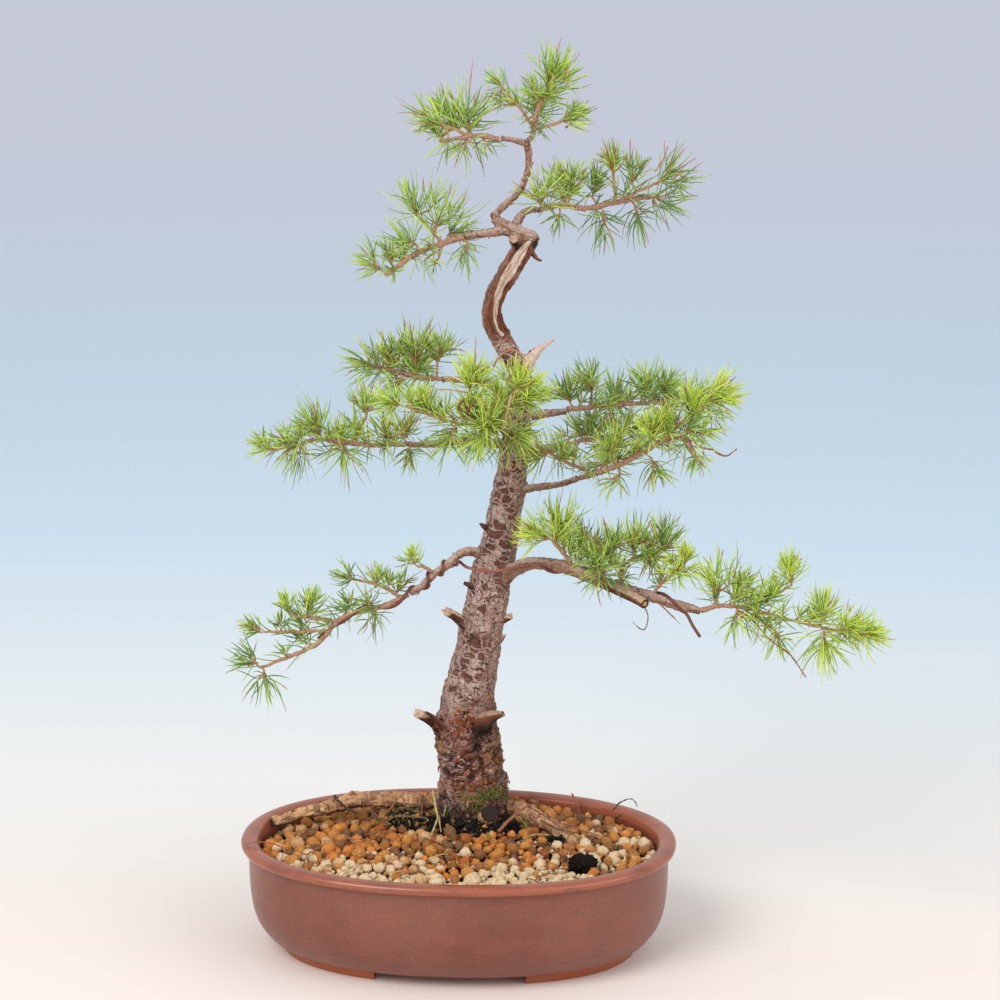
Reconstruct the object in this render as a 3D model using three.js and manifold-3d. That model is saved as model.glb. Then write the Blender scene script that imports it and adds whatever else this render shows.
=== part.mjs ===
// European larch bonsai in an oval unglazed pot, in millimetres, +Z up.
// Places are measured from the middle of the pot on the surface it stands on: X to the right, Y to the back.
// The group is moved at the end so that its origin is the middle of the bottom of its box.
import * as THREE from "three";
import { mergeVertices } from "three/addons/utils/BufferGeometryUtils.js";
import Module from "manifold-3d";

const wasm = await Module();
wasm.setup();

// Driving dimensions

const CLEARANCE = 0.3;
const SLIVER = 0.02;
const SEED = 3;

const POT = {
  halfLength: 120,
  halfWidth: 83,
  height: 63,
  ovalExponent: 2.2,
  lipWidth: 10,
  lipDepth: 6,
  lipArcs: 4,
  lipOverhang: 4.3,
  belly: [[21, 5], [14.5, 8.5], [9.5, 15], [6, 24], [4.3, 42]],
  base: 5,
  floor: 11,
  coveRise: 6,
  coveInset: 5,
  footInset: 22,
  footWidth: 9,
  footGap: 41,
  sides: 36,
};
const DRAIN = { offset: 45, radius: 9, sides: 20 };
const SCREEN = { size: 27, thickness: 1.2, holes: 3, hole: 5.6 };
const SOIL = {
  edge: 54,
  mound: 10,
  moundX: 9,
  moundY: 34,
  moundSpread: 34,
  granule: 14,
  bump: 2.8,
  roughness: 1.5,
  shift: 0.8,
};
const WIRE = { radius: 1, lift: 0.9, arcs: 3, steps: 64 };
const TRUNK = { sides: 12, steps: 26, flare: 0.22, flutes: 0.12, ribs: 0.05, ripple: 0.02 };
const LIMB_SIDES = 6;
const STUB_SIDES = 5;
const STEM_SIDES = 4;
const NEEDLE = {
  radius: 0.6,
  perTuft: 6,
  shortTuft: 20,
  bend: 0.6,
  droop: 0.12,
  scatter: 0.3,
  shortest: 0.8,
  attempts: 8,
};
const BUD = { radius: 1.35, widest: -0.3, stemPlaces: 24 };

// Wood routes: x, y, z and radius, from thick to thin

const WOOD = {
  trunk: [
    [6, 38, 50, 22.1], [6, 37, 62, 20.5], [5.5, 36, 74, 18.8], [4.5, 35, 92, 17.3], [2, 33, 116, 17.3],
    [3, 32, 132, 14.5], [6, 31, 149, 13.1], [12, 29, 180, 11.8], [18, 26, 210, 11], [24, 25, 240, 9.3],
    [28, 23, 264, 8.3], [31.5, 20, 290, 7.1], [33, 18, 312, 5.9], [30.5, 17, 324, 5.8], [23, 15, 337, 5.6],
    [18, 13, 349, 5.2], [19, 12, 360, 5.1], [26, 12, 373, 5.6], [33, 12, 384, 5.4], [38, 13, 390, 4.6],
  ],
  bend: [
    [36, 13, 387, 4.5], [39, 13, 391, 4.2], [35, 12, 394, 3.9], [29, 11, 396, 3.8], [24, 11, 399, 3.3],
    [19, 9, 403, 2.7],
  ],
  leader: [
    [19, 9, 403, 2.9], [21, 10, 406, 2.4], [33, 10, 418, 2], [37, 12, 429, 2], [37, 12, 438, 2.1],
    [36, 11, 443, 2.1],
  ],
  crownStem: [[36, 11, 442, 2], [39, 11, 446, 1.5]],
  topLeft: [[36, 11, 442, 2.1], [30, 8, 444, 1.8], [23, 5, 445, 1.6]],
  upperLeft: [[30, 11, 396, 3.2], [21, 7, 396, 2.8], [12, 4, 395, 2.3], [4, 0, 394, 2.1]],
  upperRight: [[29, 12, 396, 3.2], [32, 16, 402, 2.6], [36, 20, 406, 2.2], [43, 23, 406, 1.8]],
  midLeftRear: [[30, 20, 305, 4], [21, 30, 307, 2.7], [10, 39, 310, 2.4], [-12, 47, 310, 2]],
  midLeft: [[28, 20, 278, 4], [19, 15, 281, 2.7], [8, 11, 283, 2.4], [-15, 2, 282, 2.1]],
  front: [[28, 18, 282, 4], [26, 2, 289, 2.5], [24, -10, 294, 2]],
  midRight: [[29, 22, 252, 4.4], [36, 19, 255, 2.7], [53, 12, 259, 2], [73, 5, 267, 1.7]],
  midRightRear: [[31, 24, 274, 4.6], [38, 35, 272, 3.7], [54, 54, 272, 2.3]],
  highRightRear: [[31, 22, 293, 4], [38, 31, 293, 2.9], [56, 46, 293, 2.1]],
  lowerLeft: [
    [15, 25, 216, 3.9], [3, 16, 220, 2.8], [-8, 9, 213, 2.6], [-14, 7, 209, 2.5], [-19, 5, 204, 2.3],
    [-26, 2, 200, 2],
  ],
  lowerRight: [
    [21, 24, 201, 5.9], [29, 16, 210, 4.7], [39, 9, 216, 4], [56, 3, 216, 3.8], [78, -3, 209, 3.6],
    [100, -7, 204, 3.4], [120, -12, 199, 3], [131, -14, 197, 2.3],
  ],
  rootLeft: [
    [-1, 38, 67, 8.5], [-11, 39, 68, 5.9], [-22, 41, 68, 4.5], [-38, 41.5, 68, 5.1], [-54, 42, 68, 4.1],
    [-68, 39, 67, 4.7], [-81, 32, 65, 3.5], [-95, 25, 63, 3.3], [-102, 20, 61.5, 2.7], [-106, 17.5, 62, 2.2],
  ],
  rootRight: [
    [16, 37, 66, 8], [27, 34, 67, 5.1], [38, 29, 66.5, 4.9], [48, 19, 64, 4.5], [57, 12, 60, 3.7],
    [65, 7, 56, 2.3],
  ],
  rootRear: [[9, 41, 66, 7.4], [14, 57, 64, 4.6], [21, 68, 60, 2.7]],
  rootFront: [[8, 33, 65, 7.4], [13, 19, 67, 4.8], [16, 11, 65, 3.9]],
  rootFrontLeft: [[3, 36, 64, 7.4], [-6, 24, 62, 4.5], [-13, 13, 57, 2.8]],
};

// Broken and cut stubs, knots and one splinter of dead wood

const STUBS = [
  [[6, 22, 175, 4], [-2, 10, 185, 2.6], [-7, 3, 190, 2.3]],
  [[-12, 27, 116, 4], [-17, 19, 123, 2.9], [-23, 11, 129, 2.6]],
  [[13, 21, 121, 5.2], [15, 9, 128, 3.9], [20, 5, 131, 3.1], [25, 3, 132, 2]],
  [[14, 27, 190, 2.6], [5, 21, 200, 1.9], [0, 19, 202, 1.5]],
  [[17, 23, 231, 2.5], [13, 19, 234, 1.6], [10, 18, 236, 0.9]],
  [[20, 27, 178, 2.9], [24, 26, 180, 2.2], [27, 25, 182, 1.8]],
  [[90, -6, 206, 2.6], [97, -12, 203, 2.4], [105, -15, 200, 2.1]],
  [[36, 13, 383, 2.6], [41, 11, 382, 1.5], [43, 10, 379, 0.8]],
  [[31, 13, 389, 3], [30, 6, 393, 2.5], [30, 4, 393, 2]],
  [[12, 37, 152, 3.9], [18, 51, 160, 2.6], [20, 55, 162, 2.2]],
  [[35, 16, 325, 3.6], [38, 17, 329, 2.1], [43, 17, 333, 1.2], [50, 18, 336, 0.5]],
  [[15, 18, 69, 4.6], [17, 9, 73, 4.3]],
];

// Leafy stems: routes as above, and tufts of needles as place, aim and length of the needles

const SPRAYS = {
  crown_spray: {
    colour: 0x9dbf3f,
    stems: [
      [[39, 11, 447, 1.7], [41, 9, 457, 1.5], [44, 8, 464, 1.3], [47, 8, 470, 1.2]],
      [[40, 11, 450, 1.2], [33, 5, 461, 1.1], [25, 0, 471, 1]],
      [[40, 11, 449, 1.2], [46, 9, 451, 1.1], [55, 8, 454, 1]],
      [[41, 11, 452, 1.1], [41, 27, 455, 1]],
    ],
    tufts: [
      [47, 8, 471, 0.25, 0, 1, 30], [44, 7, 465, 0.5, -0.6, 0.3, 24], [42, 12, 461, -0.3, 0.6, 0.6, 24],
      [24, 0, 472, -0.7, -0.1, 0.7, 15], [33, 5, 462, -0.6, -0.5, 0.4, 18], [55, 8, 454, 1, -0.1, 0.1, 19],
      [41, 28, 456, 0.2, 1, 0.4, 22], [41, 10, 453, 0.3, -0.6, -0.5, 14],
    ],
  },
  top_left_spray: {
    colour: 0x8db548,
    stems: [
      [[22, 5, 445, 1.9], [12, 1, 447, 1.6], [3, -2, 446, 1.5], [-8, -4, 444, 1.4]],
      [[7, 0, 446, 1.1], [1, -4, 450, 1], [-5, -6, 452, 1]],
    ],
    tufts: [
      [-5, -6, 452, -1, -0.1, 0.35, 24], [6, -1, 449, 0.1, 0.1, 1, 37], [1, 2, 450, -0.5, 0.3, 1, 30],
      [5, -1, 444, 0, -0.2, -1, 20], [14, 3, 445, 0.3, 0.5, -0.6, 15], [-8, -4, 446, -0.4, 0.5, 0.6, 17],
    ],
  },
  upper_right_spray: {
    colour: 0x7faf45,
    stems: [
      [
        [43, 23, 406, 2], [53, 28, 408, 2], [66, 32, 406, 2], [79, 36, 408, 1.9],
        [91, 39, 410, 1.7], [102, 43, 411, 1.4],
      ],
      [[84, 37, 409, 1.3], [95, 37, 415, 1.2], [106, 35, 420, 1]],
      [[82, 36, 409, 1.2], [82, 34, 416, 1.1], [81, 33, 423, 1]],
    ],
    tufts: [
      [43, 19, 410, -0.3, -0.8, 0.5, 27], [59, 26, 415, 0, -0.3, 1, 23], [54, 36, 410, -0.3, 0.9, 0.5, 24],
      [81, 33, 424, -0.2, -0.1, 1, 20], [91, 39, 419, 0.1, 0.5, 1, 24], [105, 35, 420, 0.9, 0, 0.5, 29],
      [102, 43, 411, 1, 0.1, -0.3, 27], [76, 33, 404, 0.15, -0.4, -1, 24], [53, 28, 403, -0.2, 0.1, -1, 16],
      [70, 39, 412, 0.2, 0.6, 0.8, 22], [93, 37, 406, 0.3, -0.6, -0.8, 22],
    ],
  },
  upper_left_spray: {
    colour: 0x7faf45,
    stems: [
      [[3, 0, 394, 2.2], [-7, -4, 391, 2.1], [-19, -6, 387, 2.1], [-28, -9, 381, 2], [-36, -11, 375, 1.9]],
      [[-7, -4, 391, 1.4], [-13, -5, 398, 1.2], [-19, -6, 405, 1.1]],
      [[-7, -4, 390, 1.3], [-9, -7, 383, 0.9]],
    ],
    tufts: [
      [-20, -6, 406, -0.45, 0, 1, 28], [-10, -7, 400, 0.3, -0.2, 1, 31], [-21, -11, 392, -0.8, -0.4, 0.5, 25],
      [-34, -5, 381, -0.1, 0.3, 1, 17], [-39, -12, 378, -1, 0, 0.25, 20], [6, -2, 391, 0.1, -0.4, -1, 20],
      [-10, -7, 382, -0.1, -0.2, -1, 7], [-5, 9, 394, 0.3, 1, 0.3, 22], [-28, 1, 382, -0.4, 0.9, 0.2, 20],
    ],
  },
  mid_left_rear_spray: {
    colour: 0x6f9f45,
    stems: [
      [[-12, 47, 310, 1.9], [-25, 50, 310, 1.8], [-35, 53, 312, 1.6], [-43, 53, 314, 1.4]],
      [[-25, 50, 310, 1.2], [-29, 70, 308, 1]],
    ],
    tufts: [
      [-45, 52, 315, -0.8, -0.5, 0.2, 29], [-42, 55, 316, -0.1, 0.3, 1, 25], [-27, 48, 319, 0.1, -0.2, 1, 27],
      [-15, 49, 319, 0, 0.2, 1, 24], [-29, 72, 308, -0.2, 1, 0.2, 24], [-34, 48, 310, -0.2, -0.6, -0.8, 20],
      [-40, 61, 311, -0.7, 0.8, 0.1, 22],
    ],
  },
  mid_left_spray: {
    colour: 0x7dac45,
    stems: [
      [
        [-15, 2, 282, 1.9], [-30, -2, 283, 1.8], [-46, -6, 283, 1.7], [-60, -9, 285, 1.6],
        [-72, -12, 287, 1.5], [-83, -15, 285, 1.4], [-97, -17, 282, 1.1],
      ],
      [[-57, -8, 284, 1.2], [-52, -6, 291, 1.1], [-48, -4, 298, 1]],
    ],
    tufts: [
      [-97, -17, 282, -1, -0.1, 0.1, 17], [-82, -15, 287, -0.4, -0.4, -0.9, 23],
      [-72, -11, 290, -0.4, 0.1, 1, 25],
      [-60, -11, 283, 0.2, -0.6, -0.9, 25], [-48, -4, 300, -0.2, 0, 1, 21],
      [-37, -9, 288, 0.1, -0.8, 0.6, 23],
      [-25, -3, 282, 0.1, -0.3, -1, 19], [-29, 6, 285, 0, 0.9, 0.6, 22], [-65, -3, 285, 0, 1, 0.4, 22],
      [-90, -9, 283, -0.5, 0.8, 0.3, 18],
    ],
  },
  front_spray: {
    colour: 0xa8c83c,
    stems: [
      [[23, -11, 294, 1.7], [19, -21, 297, 1.5], [18, -31, 300, 1.3]],
      [[23, -11, 294, 1.3], [27, -16, 304, 1.2], [32, -18, 315, 1.1]],
      [[19, -21, 297, 1.2], [11, -23, 303, 1.2], [6, -24, 308, 1.1], [9, -23, 315, 1]],
      [[19, -21, 297, 1.2], [5, -26, 299, 1.1], [-11, -29, 304, 1], [-24, -32, 309, 0.9]],
    ],
    tufts: [
      [19, -33, 300, -0.1, -1, -0.2, 27], [26, -16, 293, 0.6, -0.7, -0.5, 28],
      [33, -18, 317, 0.3, -0.1, 1, 22],
      [27, -22, 309, -0.3, -0.6, 0.7, 20], [9, -23, 316, -0.2, -0.2, 1, 24],
      [2, -30, 299, -0.4, -0.7, -0.5, 25],
      [-14, -27, 305, -0.4, 0.2, 1, 20], [-27, -32, 310, -1, -0.1, 0.1, 19], [37, -13, 310, 1, -0.3, 0.3, 20],
      [14, -19, 292, -0.2, -0.3, -1, 22],
    ],
  },
  mid_right_spray: {
    colour: 0x7dac45,
    stems: [
      [
        [74, 5, 267, 2], [87, 1, 273, 2], [100, -2, 281, 1.9],
        [112, -4, 288, 1.8], [121, -6, 290, 1.6], [127, -6, 280, 1.2],
      ],
      [[108, -3, 285, 1.3], [119, -6, 297, 1.2], [132, -7, 308, 1]],
    ],
    tufts: [
      [82, -2, 279, -0.1, -0.5, 1, 24], [133, -7, 309, 0.9, -0.1, 0.3, 25],
      [124, -6, 302, 0.2, -0.7, 0.7, 22],
      [104, -7, 290, -0.2, -0.6, 0.9, 22], [87, 0, 268, -0.1, -0.3, -1, 17], [104, -1, 276, 0.1, 0.1, -1, 19],
      [127, -6, 279, 0.1, -0.1, -1, 14], [112, 4, 290, 0.2, 0.9, 0.5, 22],
      [122, -10, 294, 0.8, -0.6, -0.1, 22],
      [80, 9, 272, -0.2, 0.9, 0.4, 20],
    ],
  },
  mid_right_inner_spray: {
    colour: 0x6f9f45,
    stems: [[[71, 5, 268, 1.4], [59, -1, 274, 1.2], [50, -5, 280, 1]]],
    tufts: [[49, -5, 280, -0.9, -0.3, 0.3, 22], [56, -3, 276, 0.2, -0.4, 1, 16]],
  },
  mid_right_rear_spray: {
    colour: 0x6b9b48,
    stems: [[[54, 54, 272, 1.7], [63, 63, 273, 1.5], [76, 73, 273, 1.3], [88, 80, 275, 1.1]]],
    tufts: [
      [89, 81, 275, 0.8, 0.6, 0.2, 24], [74, 71, 277, 0, -0.2, 1, 20], [63, 69, 275, -0.3, 0.9, 0.4, 23],
      [76, 77, 270, 0.1, 0.5, -0.9, 20],
    ],
  },
  high_right_rear_spray: {
    colour: 0x77a745,
    stems: [
      [[57, 46, 294, 1.9], [69, 52, 294, 1.8], [85, 58, 295, 1.7], [102, 63, 295, 1.5], [119, 66, 297, 1.2]],
      [[69, 52, 294, 1.2], [70, 51, 302, 1]],
      [[80, 56, 295, 1.1], [83, 78, 293, 1]],
    ],
    tufts: [
      [70, 51, 303, -0.4, -0.2, 1, 22], [99, 62, 301, -0.1, -0.1, 1, 25], [58, 50, 298, -0.1, 0.2, 1, 22],
      [120, 67, 297, 1, 0.1, 0.25, 26], [82, 80, 293, 0, 1, 0.3, 25], [109, 70, 292, 0.4, 0.9, -0.1, 22],
      [80, 56, 290, 0, -0.4, -1, 15], [109, 60, 302, 0.4, -0.6, 0.6, 22],
    ],
  },
  lower_right_heel_spray: {
    colour: 0xa6c83f,
    stems: [[[64, 1, 213, 1.6], [59, -4, 223, 1.3], [51, -8, 233, 1.1]]],
    tufts: [[50, -9, 234, -0.9, -0.2, 0.35, 24], [53, -6, 231, 0, 0.3, 1, 27]],
  },
  lower_right_rear_spray: {
    colour: 0x66944a,
    stems: [[[75, -2, 209, 1.6], [73, 9, 215, 1.3], [71, 23, 217, 1.1]]],
    tufts: [[70, 25, 217, -0.3, 0.8, 0.6, 25], [73, 15, 217, 0.4, 0, 1, 22]],
  },
  lower_right_face_spray: {
    colour: 0x6f9f45,
    stems: [[[80, -2, 208, 1.6], [79, -12, 216, 1.3], [77, -19, 221, 1.1]]],
    tufts: [[77, -21, 222, -0.2, -1, 0.1, 26], [79, -14, 217, 0.1, -0.2, -1, 18]],
  },
  lower_right_ridge_spray: {
    colour: 0x6a9a48,
    stems: [
      [[90, -5, 206, 1.7], [88, -4, 215, 1.5], [92, -3, 221, 1.3], [100, -1, 223, 1.2], [109, 2, 225, 1]],
      [[88, -4, 217, 1.2], [83, -6, 223, 1]],
    ],
    tufts: [
      [83, -6, 224, -0.3, -0.3, 1, 23], [95, -2, 225, 0, 0.2, 1, 23], [110, 2, 225, 0.5, 0.1, 1, 24],
      [101, 9, 219, 0.2, 1, 0.2, 20], [104, -5, 224, 0.2, -0.9, -0.1, 18],
    ],
  },
  lower_right_bright_spray: {
    colour: 0xb0d043,
    stems: [[[105, -8, 203, 1.5], [111, -9, 212, 1.2], [121, -11, 220, 1]]],
    tufts: [[122, -11, 221, -0.05, -0.1, 1, 17], [118, -12, 218, 0.2, -0.8, -0.1, 18]],
  },
  lower_right_tip_spray: {
    colour: 0x8fba42,
    stems: [
      [
        [131, -14, 197, 2.3], [139, -15, 200, 1.7], [152, -16, 200, 1.4], [167, -18, 197, 1.2],
        [181, -20, 194, 1.1], [197, -22, 191, 1], [213, -23, 188, 0.9],
      ],
      [[151, -17, 200, 1.1], [167, -12, 204, 1], [179, -10, 211, 0.9]],
      [[154, -16, 199, 1], [164, -19, 193, 0.9], [171, -19, 188, 0.8]],
    ],
    tufts: [
      [139, -18, 208, -0.2, -0.4, 1, 28], [149, -10, 202, 0.3, 0.8, 0.5, 24],
      [150, -22, 199, 0.1, -0.6, -0.8, 22],
      [179, -10, 212, 0, 0, 1, 19], [171, -19, 187, 0.3, 0, -1, 17], [196, -24, 191, 0, -0.5, -0.9, 27],
      [195, -20, 194, 0.1, 0.2, 1, 20], [214, -23, 188, 1, 0, -0.05, 19], [206, -18, 188, 0.5, 0.9, -0.1, 20],
      [166, -14, 203, 0.1, -0.6, 0.8, 18], [205, -26, 192, 0.4, -0.6, 0.7, 18],
    ],
  },
  lower_left_heel_spray: {
    colour: 0x9dbf3f,
    stems: [[[-14, 7, 210, 1.4], [-18, 3, 214, 1.1], [-23, 0, 216, 1]]],
    tufts: [[-23, 0, 217, -0.3, -0.1, 1, 14]],
  },
  lower_left_spray: {
    colour: 0x86b343,
    stems: [
      [
        [-27, 2, 199, 2.1], [-39, -3, 194, 2], [-52, -8, 192, 1.9], [-64, -11, 187, 1.8],
        [-74, -15, 176, 1.7], [-84, -18, 171, 1.5], [-95, -21, 167, 1.3], [-105, -22, 163, 1.1],
      ],
      [[-30, 1, 197, 1.2], [-42, -3, 205, 1], [-55, -6, 209, 0.9]],
      [[-65, -12, 187, 1.2], [-78, -14, 189, 1.1], [-88, -16, 191, 1]],
      [[-69, -13, 182, 1.2], [-85, -12, 181, 1.1], [-105, -11, 180, 0.9]],
    ],
    tufts: [
      [-56, -6, 209, -0.9, -0.1, 0.2, 18], [-44, -3, 205, 0.1, 0.2, 1, 17],
      [-46, -11, 197, -0.3, -0.9, 0.1, 20],
      [-44, -5, 191, 0.1, -0.1, -1, 17], [-89, -16, 192, -0.3, -0.2, 0.9, 17],
      [-81, -15, 189, 0.3, 0.3, 1, 22],
      [-106, -11, 180, -0.9, 0.1, 0.2, 16], [-107, -23, 166, -1, -0.1, 0.25, 20],
      [-103, -22, 161, -0.1, -0.2, -1, 22],
      [-61, -1, 189, -0.1, 1, 0.3, 20], [-85, -8, 175, -0.2, 0.9, 0.2, 18], [-34, 4, 199, 0.3, 0.5, 0.8, 17],
    ],
  },
};

// A repeatable random draw between 0 and 1

let drawn = SEED;
function draw() {
  drawn = (drawn * 1664525 + 1013904223) % 4294967296;
  return drawn / 4294967296;
}

// Solids

function solidOf(geometry) {
  const bare = geometry.clone();
  bare.deleteAttribute("normal");
  bare.deleteAttribute("uv");
  const merged = mergeVertices(bare, 1e-4);
  return new wasm.Manifold(new wasm.Mesh({
    numProp: 3,
    vertProperties: new Float32Array(merged.attributes.position.array),
    triVerts: new Uint32Array(merged.index.array),
  }));
}

function joined(solids) {
  return wasm.Manifold.union(solids);
}

function largest(solid) {
  return solid.decompose().sort((a, b) => b.volume() - a.volume())[0];
}

// A mesh of a solid, without the slivers that joins and cuts leave
function meshOf(name, solid, finish) {
  const data = solid.asOriginal().simplify(SLIVER).getMesh();
  const geometry = new THREE.BufferGeometry();
  geometry.setAttribute("position", new THREE.BufferAttribute(data.vertProperties, 3));
  geometry.setIndex(new THREE.BufferAttribute(data.triVerts, 1));
  geometry.computeVertexNormals();
  const mesh = new THREE.Mesh(geometry, new THREE.MeshStandardMaterial(finish));
  mesh.name = name;
  return mesh;
}

function block(sizeX, sizeY, sizeZ, x, y, z) {
  return solidOf(new THREE.BoxGeometry(sizeX, sizeY, sizeZ).translate(x, y, z));
}

// Round wood: a turned rod whose rings are set along a route

function curveThrough(points) {
  return new THREE.CatmullRomCurve3(points, false, "centripetal");
}

function placeOf([x, y, z]) {
  return new THREE.Vector3(x, y, z);
}

function routeOf(points) {
  return { line: curveThrough(points.map(placeOf)), radii: points.map((point) => point[3]) };
}

function radiusAt(route, t) {
  const place = t * (route.radii.length - 1);
  const before = Math.min(Math.floor(place), route.radii.length - 2);
  return THREE.MathUtils.lerp(route.radii[before], route.radii[before + 1], place - before);
}

function rod(points, { sides, steps, grow = 0, relief = () => 1 }) {
  const route = routeOf(points);
  const rings = Array.from({ length: steps + 1 }, (_, i) => i / steps);
  const profile = [new THREE.Vector2(0, 0)];
  rings.forEach((t) => profile.push(new THREE.Vector2(radiusAt(route, t), t)));
  profile.push(new THREE.Vector2(0, 1));
  const geometry = new THREE.LatheGeometry(profile, sides);
  const frames = framesAlong(route.line, rings);
  const position = geometry.attributes.position;
  for (let i = 0; i < position.count; i += 1) {
    const t = position.getY(i);
    const ring = Math.round(t * steps);
    const { centre, ahead, across, up } = frames[ring];
    const out = Math.hypot(position.getX(i), position.getZ(i));
    const angle = Math.atan2(position.getX(i), position.getZ(i));
    const radius = out > 0 ? out * relief(t, angle) + grow : 0;
    const end = ring === 0 ? -grow : ring === steps ? grow : 0;
    const place = centre.clone();
    place.addScaledVector(ahead, end);
    place.addScaledVector(across, radius * Math.sin(angle));
    place.addScaledVector(up, radius * Math.cos(angle));
    position.setXYZ(i, place.x, place.y, place.z);
  }
  return solidOf(geometry);
}

// Frames that twist as little as they can: ahead runs along the line, across and up span its section
function framesAlong(line, stops) {
  let up = null;
  return stops.map((t) => {
    const centre = line.getPoint(t);
    const ahead = line.getTangent(t).normalize();
    const first = Math.abs(ahead.z) < 0.9 ? new THREE.Vector3(0, 0, 1) : new THREE.Vector3(0, -1, 0);
    const guide = up ?? first;
    up = guide.clone().addScaledVector(ahead, -guide.dot(ahead)).normalize();
    const across = new THREE.Vector3().crossVectors(ahead, up);
    return { centre, ahead, across, up };
  });
}

// The trunk with its flare, fluted towards the roots, its limbs, roots and stubs

function trunkRelief(t, angle) {
  const low = Math.max(0, 1 - t / TRUNK.flare);
  const flutes = TRUNK.flutes * Math.sin(3 * angle + 1.2) + TRUNK.ribs * Math.sin(7 * angle);
  const bark = TRUNK.ripple * (Math.sin(5 * angle + 40 * t) + Math.sin(3 * angle - 90 * t));
  return 1 + low * flutes + bark;
}

function woodSolid(grow) {
  const { trunk, ...others } = WOOD;
  const stem = rod(trunk, { sides: TRUNK.sides, steps: TRUNK.steps, grow, relief: trunkRelief });
  const limbs = Object.values(others).map((points) =>
    rod(points, { sides: LIMB_SIDES, steps: Math.max(points.length - 1, 3), grow }));
  const stubs = STUBS.map((points) => rod(points, { sides: STUB_SIDES, steps: points.length - 1, grow }));
  return joined([stem, ...limbs, ...stubs]);
}

// Pot: one fired shell on two curved feet, with two drain holes

function ovalPoint(radius, angle) {
  const halfWidth = Math.max(radius - (POT.halfLength - POT.halfWidth), 0);
  const power = 2 / POT.ovalExponent;
  const x = Math.sign(Math.sin(angle)) * Math.abs(Math.sin(angle)) ** power;
  const y = -Math.sign(Math.cos(angle)) * Math.abs(Math.cos(angle)) ** power;
  return [radius * x, halfWidth * y];
}

// Turns a profile of [inset from the rim, height] into an oval solid
function ovalSolid(profile) {
  const points = profile.map(([inset, z]) =>
    new THREE.Vector2(inset === null ? 0 : POT.halfLength - inset, z));
  const geometry = new THREE.LatheGeometry(points, POT.sides);
  const position = geometry.attributes.position;
  for (let i = 0; i < position.count; i += 1) {
    const radius = Math.hypot(position.getX(i), position.getZ(i));
    const [x, y] = ovalPoint(radius, Math.atan2(position.getX(i), position.getZ(i)));
    position.setXYZ(i, x, y, position.getY(i));
  }
  return solidOf(geometry);
}

function lipArc(centreInset, centreZ, halfWidth, halfDepth, steps) {
  return Array.from({ length: steps + 1 }, (_, i) => {
    const angle = (Math.PI * i) / steps;
    return [centreInset - halfWidth * Math.cos(angle), centreZ + halfDepth * Math.sin(angle)];
  });
}

function innerWall(gap) {
  return [
    [POT.lipWidth + gap, POT.height - POT.lipDepth / 2],
    [POT.lipWidth + 1 + gap, POT.floor + 3 * POT.coveRise],
    [POT.lipWidth + POT.coveInset + gap, POT.floor + POT.coveRise],
    [POT.lipWidth + 2 * POT.coveInset + gap, POT.floor + gap],
    [null, POT.floor + gap],
  ];
}

function drainHole(side) {
  const hole = new THREE.CylinderGeometry(DRAIN.radius, DRAIN.radius, 4 * POT.floor, DRAIN.sides);
  hole.rotateX(Math.PI / 2);
  hole.translate(side * DRAIN.offset, 0, 0);
  return solidOf(hole);
}

function potSolid() {
  const lipZ = POT.height - POT.lipDepth / 2;
  const shell = ovalSolid([
    [null, POT.base],
    ...POT.belly,
    [POT.lipOverhang, POT.height - POT.lipDepth - 0.5],
    ...lipArc(POT.lipWidth / 2, lipZ, POT.lipWidth / 2, POT.lipDepth / 2, POT.lipArcs),
    ...innerWall(0).slice(1),
  ]);
  const ring = ovalSolid([
    [POT.footInset + POT.footWidth, 0],
    [POT.footInset, 0],
    [POT.footInset - 1, POT.base + 1],
    [POT.footInset + POT.footWidth + 1, POT.base + 1],
    [POT.footInset + POT.footWidth, 0],
  ]);
  const gap = block(2 * POT.footGap, 4 * POT.halfWidth, 2 * POT.base, 0, 0, 0);
  return joined([shell, ring.subtract(gap)]).subtract(drainHole(-1)).subtract(drainHole(1));
}

// Plastic screens over the drain holes, each a square sheet with a grid of openings

function screenSolid(side) {
  const { size, thickness, holes, hole } = SCREEN;
  const step = size / holes;
  const level = POT.floor + CLEARANCE + thickness / 2;
  const openings = [];
  for (let i = 0; i < holes; i += 1) {
    for (let j = 0; j < holes; j += 1) {
      const x = side * DRAIN.offset + (i - (holes - 1) / 2) * step;
      openings.push(block(hole, hole, 3 * thickness, x, (j - (holes - 1) / 2) * step, level));
    }
  }
  return block(size, size, thickness, side * DRAIN.offset, 0, level).subtract(joined(openings));
}

function screenPocket(side) {
  const size = SCREEN.size + 2 * CLEARANCE;
  return block(size, size, 2 * (SCREEN.thickness + 2 * CLEARANCE), side * DRAIN.offset, 0, POT.floor);
}

// Soil: the pot's filling, mounded at the trunk, with its granules as six-sided humps, larger than life

function soilHeight(x, y) {
  const away = (x - SOIL.moundX) ** 2 + (y - SOIL.moundY) ** 2;
  return SOIL.edge + SOIL.mound * Math.exp(-away / (2 * SOIL.moundSpread ** 2));
}

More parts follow.
